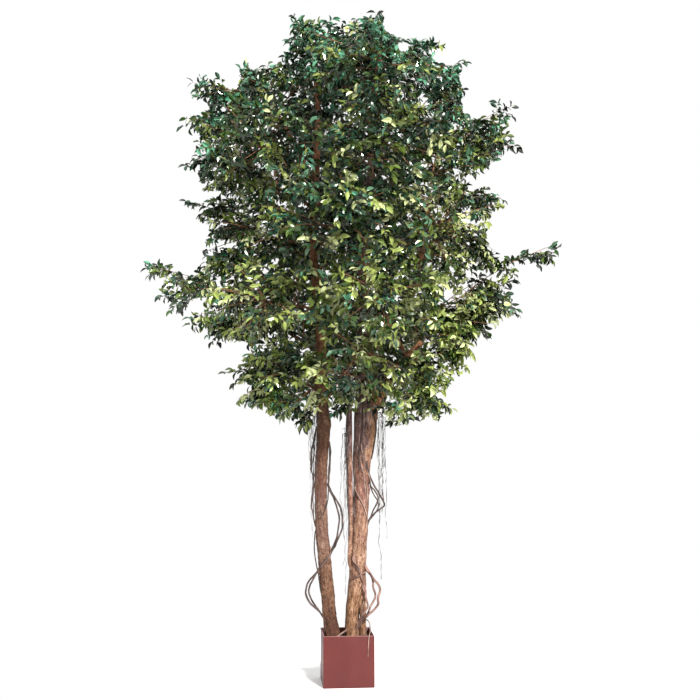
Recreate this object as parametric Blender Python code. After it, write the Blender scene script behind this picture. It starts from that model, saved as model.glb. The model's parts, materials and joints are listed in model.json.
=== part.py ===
"""An artificial banyan, 4.5 m tall, in a square planter: two wooden trunks with lianas and hanging roots
under a crown of leafy masses.

Blender 4.5, metres, +Z up. The origin is the middle of the planter's flat underside, and the front of the
tree faces -Y. Each limb, liana, bunch of roots and mass of foliage is one object and one closed solid.
"""

import math
import random
from collections import namedtuple

import bmesh
import bpy
from mathutils import Matrix, Vector
from mathutils.bvhtree import BVHTree

# --- Driving dimensions -------------------------------------------------------------------------------

GAP = 0.0003  # running gap between two pieces that touch
CLEARANCE = 0.003  # room that leaves and twigs keep to every limb
SMOOTH_ANGLE = math.radians(50)
SEED = 41

POT_SIDE = 0.325
POT_HEIGHT = 0.320
POT_WALL = 0.009
POT_FLOOR = 0.012
POT_EDGE = 0.0015  # the bevel on its edges
FILL_TOP = 0.285  # the level that the trunks stand on
TRUNK_FOOT = FILL_TOP + GAP

# Limbs are (x, y, z, radius) at their bends, foot first.
TRUNK_LEFT = (
    (-0.1010, -0.015, TRUNK_FOOT, 0.0440),
    (-0.1150, -0.016, 0.42, 0.0440),
    (-0.1405, -0.020, 0.70, 0.0430),
    (-0.1685, -0.030, 1.00, 0.0415),
    (-0.1735, -0.042, 1.35, 0.0405),
    (-0.1585, -0.050, 1.65, 0.0440),
    (-0.1775, -0.055, 1.87, 0.0420),
    (-0.1815, -0.075, 2.36, 0.0340),
    (-0.2325, -0.080, 2.80, 0.0300),
    (-0.2195, -0.060, 3.32, 0.0260),
    (-0.2025, -0.035, 3.68, 0.0200),
    (-0.2105, -0.050, 4.02, 0.0130),
)
TRUNK_RIGHT = (
    (0.033, 0.015, TRUNK_FOOT, 0.0475),
    (0.036, 0.015, 0.42, 0.0455),
    (0.047, 0.015, 0.54, 0.0470),
    (0.068, 0.018, 0.68, 0.0545),
    (0.082, 0.022, 0.90, 0.0520),
    (0.097, 0.028, 1.15, 0.0500),
    (0.102, 0.034, 1.40, 0.0570),
    (0.116, 0.040, 1.58, 0.0660),
    (0.129, 0.044, 1.74, 0.0760),
    (0.127, 0.050, 1.93, 0.0600),
    (0.126, 0.058, 2.16, 0.0460),
    (0.127, 0.070, 2.50, 0.0370),
    (0.116, 0.080, 2.75, 0.0310),
    (0.155, 0.070, 3.22, 0.0240),
    (0.169, 0.040, 3.54, 0.0190),
    (0.159, -0.010, 3.80, 0.0155),
    (0.184, -0.070, 4.02, 0.0120),
)
SIDE_STEM = (
    (0.104, 0.005, TRUNK_FOOT, 0.0235),
    (0.105, 0.004, 0.42, 0.0200),
    (0.109, 0.005, 0.54, 0.0160),
    (0.113, 0.009, 0.64, 0.0135),
    (0.104, 0.014, 0.73, 0.0100),
)
SLIM_STEM = (
    (0.0695, 0.000, 0.66, 0.0100),
    (0.0195, -0.004, 0.75, 0.0130),
    (0.0215, 0.000, 0.90, 0.0150),
    (0.0235, 0.000, 1.15, 0.0155),
    (0.0185, -0.006, 1.43, 0.0165),
    (0.0165, -0.014, 1.62, 0.0175),
    (0.0115, -0.020, 1.85, 0.0160),
    (0.0075, -0.030, 2.04, 0.0120),
)
LEADER_LEFT = (
    (-0.2225, -0.068, 3.20, 0.0180),
    (-0.2955, -0.060, 3.42, 0.0165),
    (-0.4255, -0.075, 3.66, 0.0125),
)
LEADER_LOW = (
    (0.1295, 0.040, 1.70, 0.0330),
    (0.2245, 0.010, 1.86, 0.0320),
    (0.3295, -0.020, 2.04, 0.0280),
    (0.4195, -0.028, 2.13, 0.0240),
    (0.4995, -0.025, 2.21, 0.0200),
)
LEADER_HIGH = (
    (0.1265, 0.058, 2.10, 0.0270),
    (0.2645, 0.080, 2.28, 0.0260),
    (0.3695, 0.090, 2.42, 0.0235),
    (0.4695, 0.075, 2.62, 0.0210),
    (0.5295, 0.050, 2.90, 0.0170),
    (0.5595, 0.020, 3.16, 0.0130),
)

# How the trunks' outlines part from round, as shares of the radius; turns and widths are in radians.
LEFT_FLUTES = 0.025
LEFT_ROOT = (0.35, -0.2, 0.5, 0.46)  # how far it flares, its turn and width, and the height it starts at
LEFT_KNOT = (0.20, 0.0, 0.6, 1.655, 0.035)  # how far it stands out, its turn and width, height and reach
RIGHT_FLUTES = 0.03
RIGHT_FLARE = (0.06, 0.40)  # how far the foot flares, and the height it starts at
FUSED_STEMS = 0.085  # how far three fused stems show below the fork
FUSED_HEIGHTS = (1.30, 1.62, 1.85, 2.05)  # they show fully between the second and the third

# A liana is wound round a trunk in spans: (height and turn at the top, at the foot, how far it bows out).
# A turn is in degrees about the trunk's own axis: 0 is +X, -90 is the front and 180 is -X.
Span = namedtuple("Span", "z_from z_to turn_from turn_to bow")
LIANA_RADIUS = 0.0065
LIANA_REST = 0.0025  # a liana that clings keeps this off the bark
LIANA_TUCK = 0.025  # how far past its spans an end dives into the limb
LIANA_PIECE = 0.045
LIANA_TURN = 30  # the most a liana turns, in degrees, from one control to the next
LIANAS = {
    "liana_left_loop": (
        "trunk_left",
        (
            Span(1.52, 1.25, -12, 4, 0.006),
            Span(1.25, 0.83, 4, -24, 0.086),
            Span(0.83, 0.71, -24, -168, 0.0),
            Span(0.71, 0.44, -168, -186, 0.088),
        ),
    ),
    "liana_left_upper": (
        "trunk_left",
        (Span(1.62, 1.28, 168, 176, 0.026), Span(1.28, 1.02, 176, 190, 0.018)),
    ),
    "liana_right_elbow": (
        "trunk_right",
        (Span(1.47, 1.27, -96, -34, 0.0), Span(1.27, 0.98, -34, -8, 0.092)),
    ),
    "liana_right_cross": (
        "trunk_right",
        (Span(0.79, 0.62, -128, -36, 0.002), Span(0.62, 0.36, -36, -55, 0.055)),
    ),
    "liana_right_bow": ("trunk_right", (Span(0.72, 0.37, -30, -35, 0.125),)),
}

# A bunch of hanging roots: the limb it leaves, the height and turn there, the length of its spur, and how
# long each root hangs.
ROOT_RADIUS = 0.0024
ROOT_SWAY = 0.004
ROOT_BENDS = 3
SPUR_RISE = 0.02
ROOT_BUNCHES = {
    "roots_left": ("trunk_left", 1.70, 206, 0.080, (0.62, 0.78, 0.50)),
    "roots_middle": ("slim_stem", 1.60, 190, 0.040, (1.02, 0.56)),
    "roots_right": ("trunk_right", 1.70, -6, 0.085, (0.92, 0.60, 0.78)),
}
FRONT_ROOT = (
    (0.112, 0.004, 0.400, 0.0034),
    (0.140, -0.012, 0.385, 0.0034),
    (0.144, -0.060, 0.360, 0.0032),
    (0.138, -0.120, 0.338, 0.0032),
    (0.1300, -0.1500, 0.3275, 0.0030),
    (0.1275, -0.1645, 0.3250, 0.0030),
    (0.1255, -0.1680, 0.3130, 0.0028),
    (0.1215, -0.1670, 0.2600, 0.0026),
    (0.1190, -0.1660, 0.1900, 0.0020),
)

# The crown is tiers of masses, each a ring round the crown's middle. ring is the ring's radius, shift its
# middle's x, spread and rise a mass's reach sideways and upwards, and lift raises its front and back.
Tier = namedtuple("Tier", "name height ring count first shift spread rise lift")
TIERS = (
    Tier("skirt", 1.97, 0.38, 4, 4, 0.01, 0.40, 0.34, 0.14),
    Tier("low", 2.42, 0.61, 5, 0, -0.03, 0.46, 0.34, 0.02),
    Tier("middle", 2.92, 0.60, 5, 36, 0.07, 0.48, 0.36, 0.0),
    Tier("high", 3.42, 0.64, 5, 0, -0.04, 0.49, 0.36, 0.0),
    Tier("upper", 3.88, 0.58, 4, 12, 0.02, 0.52, 0.35, 0.06),
    Tier("top", 4.12, 0.27, 3, 84, 0.0, 0.42, 0.34, 0.0),
)
CROWN_TOP = 4.53
CROWN_FALL = (0.45, 0.52)  # how the crown's roof falls, sideways by the square and to front and back
CROWN_DEPTH = 0.92  # the crown is a little shallower than it is wide

# Sprigs that stand out of the crown's outline, by the place of their tip.
SPRIGS = (
    (-1.390, 0.00, 2.73),
    (-1.220, -0.16, 2.50),
    (-1.020, 0.16, 2.26),
    (-1.120, -0.20, 3.50),
    (-1.150, 0.02, 3.74),
    (-1.060, -0.10, 3.92),
    (-0.760, 0.10, 4.15),
    (-0.370, -0.03, 4.47),
    (0.170, -0.06, 4.50),
    (0.720, 0.05, 4.24),
    (1.150, 0.00, 3.88),
    (1.150, -0.02, 3.54),
    (1.420, -0.20, 2.81),
    (1.140, 0.05, 2.50),
    (0.900, -0.05, 2.14),
    (0.660, -0.12, 1.76),
    (-0.740, 0.05, 1.84),
    (-0.500, -0.10, 1.66),
    (0.070, 1.10, 3.30),
    (-0.050, -1.10, 3.02),
)

DIRECT_MARGIN = 0.05  # a mass grows from a limb itself where the limb is this far inside its space
DIRECT_SHARE = 0.96
DIRECT_BELOW = 0.10  # the stem then leaves the limb near this far below the mass's middle
BOUGH_ENTRY = 0.66  # where a bough ends, as a share of the way from the mass's middle to its edge
BOUGH_FOOT = 0.34  # how far below a mass's middle its bough leaves the limb
BOUGH_RISE = 0.35  # how much steeper it sets off than the straight way there
LIMB_TIP = 0.06  # no bough leaves a limb nearer its tip than this
BOUGH_RADIUS = (0.0155, 0.0085)  # at the foot and at the tip
STEM_RADIUS = (0.0150, 0.0120)
STEM_PAST = 0.3  # a stem runs on past the mass's middle, by this share of its way there
STEM_MARKS = 20
TWIG_RADIUS = (0.0060, 0.0050)
TWIG_BACK = 0.15  # a twig leaves the stem this share of it before the point nearest its tip
GOLDEN_TURN = 0.618034
TWIGS = 6
TWIG_REACH = (0.72, 0.6, 0.45, 0.3)  # a twig ends at the first share that has room for its leaf
TWIG_MARGIN = 0.10
TWIG_ARCH = 0.10
TWIG_LEAVES = (0.45, 0.75, 1.00)
SPRIG_LEAVES = (0.50, 0.76, 1.00)
SPRIG_FOOT = 0.6
LEAF_LENGTH = 0.290
LEAF_WIDTH = 0.180
LEAF_THICKNESS = 0.010
LEAF_SPLAY = 1.0  # the angle between a leaf and its twig
LEAF_SWING = 0.2
LEAF_DROOP = (-0.7, 0.3)
LEAF_ROLL = 0.5
LEAF_SIZE = (0.85, 1.10)
LEAF_OUTWARD = 1.3  # how far a leaf faces out of its mass, against 1 upwards
LEAF_SINK = 0.001  # how far its root is past the middle of the twig
LEAF_CORNERS = (  # shares of the width, length and thickness
    (0.0, 0.0, 0.0),
    (-0.5, 0.46, 0.0),
    (0.5, 0.46, 0.0),
    (0.0, 0.46, 0.5),
    (0.0, 0.46, -0.5),
    (0.0, 1.0, -0.6),
)
LEAF_TRIES = 10

# --- Materials ----------------------------------------------------------------------------------------


def finish(name, colour, roughness, metallic=0.0):
    """A Principled BSDF of one plain colour."""
    material = bpy.data.materials.new(name)
    material.use_nodes = True
    shader = material.node_tree.nodes["Principled BSDF"]
    shader.inputs["Base Color"].default_value = (*colour, 1.0)
    shader.inputs["Roughness"].default_value = roughness
    shader.inputs["Metallic"].default_value = metallic
    material.diffuse_color = (*colour, 1.0)
    return material


# --- Limbs --------------------------------------------------------------------------------------------


def smooth_path(controls, step):
    """Stations (point, radius) about step apart, on a Catmull-Rom curve through the controls."""
    knots = [Vector(c) for c in controls]
    knots = [2 * knots[0] - knots[1], *knots, 2 * knots[-1] - knots[-2]]
    stations = []
    for before, start, end, after in zip(knots, knots[1:], knots[2:], knots[3:]):
        pieces = max(1, round((end - start).xyz.length / step))
        for k in range(pieces):
            t = k / pieces
            curve = 2 * start + (end - before) * t
            curve += (2 * before - 5 * start + 4 * end - after) * t**2
            curve += (3 * start - before - 3 * end + after) * t**3
            stations.append((0.5 * curve.xyz, 0.5 * curve.w))
    stations.append((knots[-2].xyz, knots[-2].w))
    return stations


def frames_along(points, way=None):
    """A rotation at each point whose Z runs along the path, turned as little as can be. way is the first."""
    frames = []
    for k, point in enumerate(points):
        ahead = points[min(k + 1, len(points) - 1)] - points[max(k - 1, 0)]
        if not frames:
            ahead = way or ahead
            frame = ahead.to_track_quat("Z", "Y").to_matrix()
        else:
            last = frames[-1]
            frame = last.col[2].rotation_difference(ahead).to_matrix() @ last
        frames.append(frame)
    return frames


def round_section(turn, height):
    """A limb's outline at this turn and height, as a share of its radius: here a plain circle."""
    return 1.0


def sweep(stations, sides, section=round_section, grow=0.0, flat_foot=False, way=None):
    """A closed mesh round the stations: a ring is extruded from each to the next. grow widens it all."""
    points = [point for point, _ in stations]
    frames = frames_along(points, way)
    bm = bmesh.new()
    bmesh.ops.create_circle(bm, cap_ends=True, segments=sides, radius=1.0)
    bm.faces.ensure_lookup_table()
    cap = bm.faces[0]
    ring = {vert: math.atan2(vert.co.y, vert.co.x) for vert in bm.verts}
    for k, ((centre, radius), frame) in enumerate(zip(stations, frames)):
        if k:
            unit = {vert.co.copy().freeze(): turn for vert, turn in ring.items()}
            made = bmesh.ops.extrude_face_region(bm, geom=[cap])["geom"]
            if k > 1:
                bmesh.ops.delete(bm, geom=[cap], context="FACES_ONLY")
            cap = next(g for g in made if isinstance(g, bmesh.types.BMFace))
            ring = {v: unit[v.co.copy().freeze()] for v in made if isinstance(v, bmesh.types.BMVert)}
        for vert, turn in ring.items():
            spoke = frame @ Vector((math.cos(turn), math.sin(turn), 0.0))
            around = math.atan2(spoke.y, spoke.x)
            vert.co = centre + spoke * (radius * section(around, centre.z) + grow)
            if flat_foot and not k:
                vert.co.z = centre.z
    bmesh.ops.recalc_face_normals(bm, faces=bm.faces[:])
    return bm


def new_object(name, bm, material=None, collection=None, smooth=True):
    mesh = bpy.data.meshes.new(name)
    bm.to_mesh(mesh)
    bm.free()
    if smooth:
        mesh.shade_smooth()
        mesh.set_sharp_from_angle(angle=SMOOTH_ANGLE)
    obj = bpy.data.objects.new(name, mesh)
    if material:
        mesh.materials.append(material)
    (collection or bpy.context.scene.collection).objects.link(obj)
    return obj


def helper(name, bm):
    """A cutter: a mesh that shapes others and isn't a piece of the tree."""
    cutter = new_object(name, bm, smooth=False)
    cutter.hide_render = True
    cutter.display_type = "WIRE"
    return cutter


def cut_clear(obj, cutter):
    """Cuts obj back to the cutter, which is the limb that carries it grown by the gap."""
    cut = obj.modifiers.new("clear_of_" + cutter.name, "BOOLEAN")
    cut.operation = "DIFFERENCE"
    cut.solver = "EXACT"
    cut.object = cutter


class Limb:
    """A limb's stations, its solid, and the sleeve and cutter that other pieces keep clear of."""

    def __init__(self, name, controls, sides, step, section=round_section, flat_foot=False):
        self.name = name
        self.stations = smooth_path(controls, step)
        self.shape = dict(sides=sides, section=section, flat_foot=flat_foot)
        self.section = section
        self.cutter = None

    def build(self, material, parent=None):
        obj = new_object(self.name, sweep(self.stations, **self.shape), material)
        if parent:
            cut_clear(obj, parent.cutting())
        return obj

    def cutting(self):
        if not self.cutter:
            self.cutter = helper(self.name + "_cutter", sweep(self.stations, grow=GAP, **self.shape))
        return self.cutter

    def sleeve(self):
        return sweep(self.stations, grow=CLEARANCE, **self.shape)

    def at_height(self, height):
        """The axis point and radius at a height."""
        for (low, r_low), (high, r_high) in zip(self.stations, self.stations[1:]):
            if low.z <= height <= high.z:
                t = (height - low.z) / (high.z - low.z)
                return low.lerp(high, t), r_low + (r_high - r_low) * t
        return self.stations[-1] if height > self.stations[-1][0].z else self.stations[0]

    def bark(self, height, turn, off=0.0):
        """The point at this height and turn, that far off the bark."""
        axis, radius = self.at_height(height)
        reach = radius * self.section(math.atan2(math.sin(turn), math.cos(turn)), height) + off
        return axis + reach * Vector((math.cos(turn), math.sin(turn), 0.0))


def fade(value, start, end):
    """0 before start and 1 after end, smoothly between; start may be the larger."""
    t = min(1.0, max(0.0, (value - start) / (end - start)))
    return t * t * (3 - 2 * t)


def lobe(turn, middle, width):
    """1 at the middle turn and 0 away from it."""
    apart = math.atan2(math.sin(turn - middle), math.cos(turn - middle))
    return math.exp(-((apart / width) ** 2))


def trunk_left_section(turn, height):
    """Shallow flutes, a root on the right of the foot, and a knot on the right near the first leaves."""
    flare, root_turn, root_width, root_top = LEFT_ROOT
    flare *= lobe(turn, root_turn, root_width) * fade(height, root_top, TRUNK_FOOT)
    knot, knot_turn, knot_width, middle, reach = LEFT_KNOT
    knot *= lobe(turn, knot_turn, knot_width) * math.exp(-(((height - middle) / reach) ** 2))
    return 1 + LEFT_FLUTES * math.cos(3 * turn + 1.9 * height) + flare + knot


def trunk_right_section(turn, height):
    """Shallow flutes, a slight flare, and three fused stems that part below the fork."""
    flare = RIGHT_FLARE[0] * fade(height, RIGHT_FLARE[1], TRUNK_FOOT)
    start, full, fading, end = FUSED_HEIGHTS
    stems = FUSED_STEMS * math.cos(3 * turn + 0.9) * fade(height, start, full) * fade(height, end, fading)
    return 1 + RIGHT_FLUTES * math.cos(3 * turn - 1.4 * height) + flare + stems


def dive(limb, height, turn, depth=0.5):
    """A point inside the limb, for an end that is cut back to the bark."""
    return limb.bark(height, turn).lerp(limb.at_height(height)[0], depth)


def liana_path(limb, spans):
    """Points that cling to the limb or bow out from it, with both ends inside it."""
    points = [dive(limb, spans[0].z_from + LIANA_TUCK, math.radians(spans[0].turn_from))]
    for span in spans:
        pieces = max(3, round(math.hypot(span.z_from - span.z_to, 2 * span.bow) / LIANA_PIECE))
        pieces = max(pieces, round(abs(span.turn_to - span.turn_from) / LIANA_TURN))
        for k in range(pieces):
            t = (k + 0.5) / pieces
            turn = math.radians(span.turn_from + (span.turn_to - span.turn_from) * t)
            off = LIANA_RADIUS + LIANA_REST + span.bow * math.sin(math.pi * t)
            points.append(limb.bark(span.z_from + (span.z_to - span.z_from) * t, turn, off))
    points.append(dive(limb, spans[-1].z_to - LIANA_TUCK, math.radians(spans[-1].turn_to)))
    return points


# --- Foliage: the spaces ------------------------------------------------------------------------------


class Mass:
    """A mass of foliage and the space that is its own: a flattened ball, less what lies nearer another."""

    def __init__(self, name, centre, spread, rise):
        self.name = name
        self.centre = centre
        self.reach = Vector((spread, spread * CROWN_DEPTH, rise))
        self.spread = spread

    def share(self, point):
        """0 at the middle and 1 at the edge of the ball."""
        away = point - self.centre
        return math.sqrt(sum((away[k] / self.reach[k]) ** 2 for k in range(3)))

    def margin(self, point, others):
        """How far the point is inside the flat borders to the other masses."""
        own = (point - self.centre).length_squared - self.spread**2
        nearest = 9.0
        for other in others:
            if other is not self:
                theirs = (point - other.centre).length_squared - other.spread**2
                apart = (self.centre - other.centre).length
                nearest = min(nearest, (theirs - own) / (2 * apart))
        return nearest


def roof(point):
    """The highest that the crown reaches over or under this point."""
    return CROWN_TOP - CROWN_FALL[0] * point.x**2 - CROWN_FALL[1] * abs(point.y)


def crown_masses():
    masses = []
    for tier in TIERS:
        for k in range(tier.count):
            turn = math.radians(tier.first + 360 * k / tier.count)
            across, deep = math.cos(turn), math.sin(turn)
            centre = Vector((tier.shift + tier.ring * across, tier.ring * CROWN_DEPTH * deep, tier.height))
            centre.z += tier.lift * deep**2
            masses.append(Mass(f"foliage_{tier.name}_{k + 1}", centre, tier.spread, tier.rise))
    return masses


# --- Foliage: twigs and leaves ------------------------------------------------------------------------


def bow_path(start, end, arch, pieces, way=None):
    """Points from start to end on a curve that leaves along way, or that arches upwards."""
    span = (end - start).length
    middle = start + way * span * 0.5 if way else start.lerp(end, 0.5) + Vector((0, 0, arch * span))
    ends = [start.lerp(middle, k / pieces) for k in range(pieces + 1)]
    return [a.lerp(middle.lerp(end, k / pieces), k / pieces) for k, a in enumerate(ends)]


def along(points, share):
    """The point at this share of the path, and the way it runs there."""
    lengths = [(b - a).length for a, b in zip(points, points[1:])]
    left = share * sum(lengths)
    for (a, b), length in zip(zip(points, points[1:]), lengths):
        if left <= length:
            return a.lerp(b, left / length), (b - a).normalized()
        left -= length
    return points[-1].copy(), (points[-1] - points[-2]).normalized()


def tapered(points, radii):
    """Stations whose radius runs evenly from the first radius to the second."""
    last = len(points) - 1
    return [(p, radii[0] + (radii[1] - radii[0]) * k / last) for k, p in enumerate(points)]


def leaf_mesh(root, way, face, size):
    """A leaf of 8 faces: a long flat octahedron from its root along way, with its upper side to face."""
    across = way.cross(face).normalized()
    upper = across.cross(way)
    bm = bmesh.new()
    for side, ahead, height in LEAF_CORNERS:
        corner = across * side * LEAF_WIDTH + way * ahead * LEAF_LENGTH + upper * height * LEAF_THICKNESS
        bm.verts.new(root + corner * size)
    bmesh.ops.convex_hull(bm, input=bm.verts[:])
    bmesh.ops.recalc_face_normals(bm, faces=bm.faces[:])
    return bm


def search_tree(*bms):
    """One tree that finds where other meshes meet any of these."""
    points, faces = [], []
    for bm in bms:
        bm.verts.index_update()
        first = len(points)
        points += [v.co for v in bm.verts]
        faces += [[first + v.index for v in f.verts] for f in bm.faces]
    return BVHTree.FromPolygons(points, faces)


class Grower:
    """Grows the twigs and leaves of one mass by a seeded rule, and skips what leaves its space."""

    def __init__(self, mass, masses, limbs, number):
        self.mass = mass
        self.masses = masses
        self.limbs = limbs
        self.random = random.Random(SEED * 100 + number)
        self.stem = None
        self.parts = []
        self.leaves = []

    def inside(self, bm, loose=False):
        """Whether the mesh keeps to the mass's space. A loose one may pass the ball's edge and the roof."""
        corners = [v.co for v in bm.verts]
        if min(self.mass.margin(c, self.masses) for c in corners) < CLEARANCE:
            return False
        if loose:
            return True
        low = all(c.z < roof(c) for c in corners)
        return low and self.mass.share(sum(corners, Vector()) / len(corners)) < 1.0

    def leaf(self, twig, share, side, loose=False):
        """A leaf at this share of the twig, turned until it fits and is clear of the other leaves."""
        root, way = along(twig, share)
        level = way.cross(Vector((0, 0, 1)))
        level = level.normalized() if level.length > 0.1 else Vector((1, 0, 0))
        upper = level.cross(way).normalized()
        outward = (root - self.mass.centre).normalized()
        splay = 0.0 if share > 0.99 else side * LEAF_SPLAY
        for k in range(LEAF_TRIES):
            turn = splay + self.random.uniform(-LEAF_SWING, LEAF_SWING) * (1 + k)
            droop = self.random.uniform(*LEAF_DROOP) * (1 + 0.2 * k) * (1.0 if splay else 0.3)
            heading = way * math.cos(turn) + level * math.sin(turn)
            heading = (heading + upper * droop).normalized()
            roll = Matrix.Rotation(self.random.uniform(-LEAF_ROLL, LEAF_ROLL), 3, heading)
            face = roll @ (outward * LEAF_OUTWARD + Vector((0, 0, 1)))
            size = self.random.uniform(*LEAF_SIZE) * (1 - 0.05 * k)
            bm = leaf_mesh(root - heading * LEAF_SINK, heading, face, size)
            if self.inside(bm, loose):
                tree = search_tree(bm)
                if not any(tree.overlap(other) for other in (self.limbs, *self.leaves)):
                    self.parts.append(bm)
                    self.leaves.append(tree)
                    return
            bm.free()

    def twig(self, start, end, leaves, loose=False):
        """A twig with a leaf at each of these shares of it, on its left and right by turns."""
        path = bow_path(start, end, TWIG_ARCH, 2)
        bm = sweep(tapered(path, TWIG_RADIUS), 3)
        if not self.inside(bm, True) or search_tree(bm).overlap(self.limbs):
            bm.free()
            return
        self.parts.append(bm)
        for k, share in enumerate(leaves):
            self.leaf(path, share, 1 if k % 2 else -1, loose)

    def targets(self):
        """Where twigs end: even directions round the middle, drawn in until they are in the space."""
        lead = self.random.random()
        for k in range(TWIGS):
            height = 1 - 2 * (k + 0.5) / TWIGS
            turn = math.tau * (k * GOLDEN_TURN + lead)
            flat = math.sqrt(1 - height**2)
            away = Vector((flat * math.cos(turn), flat * math.sin(turn), height)) * self.mass.reach
            for share in TWIG_REACH:
                if self.mass.margin(self.mass.centre + away * share, self.masses) > TWIG_MARGIN:
                    yield self.mass.centre + away * share
                    break

    def grow(self, seat, sprigs):
        """The stem from its seat through the middle, its twigs, and sprigs to the given tips."""
        mass = self.mass
        end = mass.centre + (mass.centre - seat.start) * STEM_PAST
        stem = bow_path(seat.start, end, 0, 3, seat.way)
        radii = (min(seat.radius, STEM_RADIUS[0]), STEM_RADIUS[1])
        self.stem = sweep(tapered(stem, radii), 3, way=seat.way)
        for target in self.targets():
            marks = [k / STEM_MARKS for k in range(STEM_MARKS)]
            foot = min(marks, key=lambda share: (along(stem, share)[0] - target).length) - TWIG_BACK
            self.twig(along(stem, max(TWIG_BACK, foot))[0], target, TWIG_LEAVES)
        for tip in sprigs:
            away = (tip - mass.centre).normalized() * LEAF_LENGTH
            self.twig(along(stem, SPRIG_FOOT)[0], tip - away, SPRIG_LEAVES, True)
        self.leaf(stem, 1.0, 1)


def fuse(name, base, parts, material):
    """One solid: the base with every part joined on by one Boolean over their collection."""
    obj = new_object(name, base, material, smooth=False)
    pieces = bpy.data.collections.new(name + "_parts")
    for k, bm in enumerate(parts):
        new_object(f"{name}_part_{k}", bm, collection=pieces, smooth=False)
    join = obj.modifiers.new("fuse", "BOOLEAN")
    join.operation = "UNION"
    join.operand_type = "COLLECTION"
    join.collection = pieces
    join.solver = "EXACT"
    graph = bpy.context.evaluated_depsgraph_get()
    fused = bpy.data.meshes.new_from_object(obj.evaluated_get(graph))
    obj.modifiers.clear()
    obj.data = fused
    fused.materials.clear()
    fused.materials.append(material)
    for part in list(pieces.objects):
        bpy.data.objects.remove(part)
    bpy.data.collections.remove(pieces)
    return obj


# --- The planter --------------------------------------------------------------------------------------


def make_pot(material):
    """A square box, open at the top, with its edges eased."""
    bm = bmesh.new()
    bmesh.ops.create_cube(bm, size=1.0)
    bmesh.ops.scale(bm, vec=(POT_SIDE, POT_SIDE, POT_HEIGHT), verts=bm.verts[:])
    bmesh.ops.translate(bm, vec=(0, 0, POT_HEIGHT / 2), verts=bm.verts[:])
    edges = bm.edges[:]
    bmesh.ops.bevel(bm, geom=edges, offset=POT_EDGE, segments=1, profile=0.5, affect="EDGES", material=-1)
    top = max(bm.faces, key=lambda f: f.calc_center_median().z + f.calc_area())
    bmesh.ops.inset_region(bm, faces=[top], thickness=POT_WALL - POT_EDGE)
    made = bmesh.ops.extrude_face_region(bm, geom=[top])["geom"]
    bmesh.ops.delete(bm, geom=[top], context="FACES_ONLY")
    floor = [g for g in made if isinstance(g, bmesh.types.BMVert)]
    bmesh.ops.translate(bm, vec=(0, 0, POT_FLOOR - POT_HEIGHT), verts=floor)
    bmesh.ops.recalc_face_normals(bm, faces=bm.faces[:])
    return new_object("pot", bm, material)


def make_fill(material):
    """The cast filling that holds the trunks, a gap clear of the box all round."""
    side = POT_SIDE - 2 * (POT_WALL + GAP)
    height = FILL_TOP - POT_FLOOR - GAP
    bm = bmesh.new()
    bmesh.ops.create_cube(bm, size=1.0)
    bmesh.ops.scale(bm, vec=(side, side, height), verts=bm.verts[:])
    bmesh.ops.translate(bm, vec=(0, 0, FILL_TOP - height / 2), verts=bm.verts[:])
    return new_object("pot_fill", bm, material, smooth=False)


# --- The tree -----------------------------------------------------------------------------------------


def make_limbs(bark, pale_bark):
    """The trunks, the slim stem and the leaders, as a dictionary by name."""
    trunks = [
        (Limb("trunk_left", TRUNK_LEFT, 11, 0.18, trunk_left_section, True), bark, None),
        (Limb("trunk_right", TRUNK_RIGHT, 12, 0.16, trunk_right_section, True), pale_bark, None),
        (Limb("slim_stem", SLIM_STEM, 6, 0.16), bark, "trunk_right"),
        (Limb("side_stem", SIDE_STEM, 8, 0.10, flat_foot=True), pale_bark, "trunk_right"),
        (Limb("leader_left", LEADER_LEFT, 6, 0.12), bark, "trunk_left"),
        (Limb("leader_low", LEADER_LOW, 6, 0.14), bark, "trunk_right"),
        (Limb("leader_high", LEADER_HIGH, 6, 0.15), bark, "trunk_right"),
    ]
    limbs = {}
    for limb, material, carrier in trunks:
        limb.build(material, limbs.get(carrier))
        limbs[limb.name] = limb
    return limbs


def make_lianas(limbs, material):
    """The lianas wound round the trunks. Returns sleeves that the leaves keep clear of."""
    sleeves = []
    for name, (carrier, spans) in LIANAS.items():
        path = smooth_path([(*p, LIANA_RADIUS) for p in liana_path(limbs[carrier], spans)], 0.09)
        cut_clear(new_object(name, sweep(path, 5), material), limbs[carrier].cutting())
        sleeves.append(sweep(path, 5, grow=CLEARANCE))
    return sleeves


def make_roots(limbs, material):
    """Bunches of thin roots that hang from a spur, and one root that hangs over the planter's rim."""
    sleeves = []
    chance = random.Random(SEED)
    for name, (carrier, height, degrees, length, drops) in ROOT_BUNCHES.items():
        limb, turn = limbs[carrier], math.radians(degrees)
        foot, tip = dive(limb, height, turn), limb.bark(height + SPUR_RISE, turn, length)
        spur = sweep(tapered([foot, tip], (2.0 * ROOT_RADIUS, 1.2 * ROOT_RADIUS)), 5)
        strands = []
        bark = limb.bark(height, turn)
        for k, drop in enumerate(drops):
            top = bark.lerp(tip, (k + 0.75) / len(drops))
            path = [top + Vector((0, 0, ROOT_RADIUS))]
            for j in range(1, ROOT_BENDS + 1):
                sway = Vector((chance.uniform(-1, 1), chance.uniform(-1, 1), 0)) * ROOT_SWAY
                path.append(top + sway - Vector((0, 0, drop * j / ROOT_BENDS)))
            strands.append(sweep(tapered(path, (ROOT_RADIUS, 0.5 * ROOT_RADIUS)), 3))
            sleeves.append(sweep(tapered(path, (ROOT_RADIUS, ROOT_RADIUS)), 3, grow=CLEARANCE))
        cut_clear(fuse(name, spur, strands, material), limb.cutting())
    front = smooth_path(FRONT_ROOT, 0.05)
    cut_clear(new_object("roots_front", sweep(front, 4), material), limbs["side_stem"].cutting())
    return sleeves


# Where a mass's stem starts, the way it sets off, the most its radius can be, and the limb to clear.
Seat = namedtuple("Seat", "start way radius limb")


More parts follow.
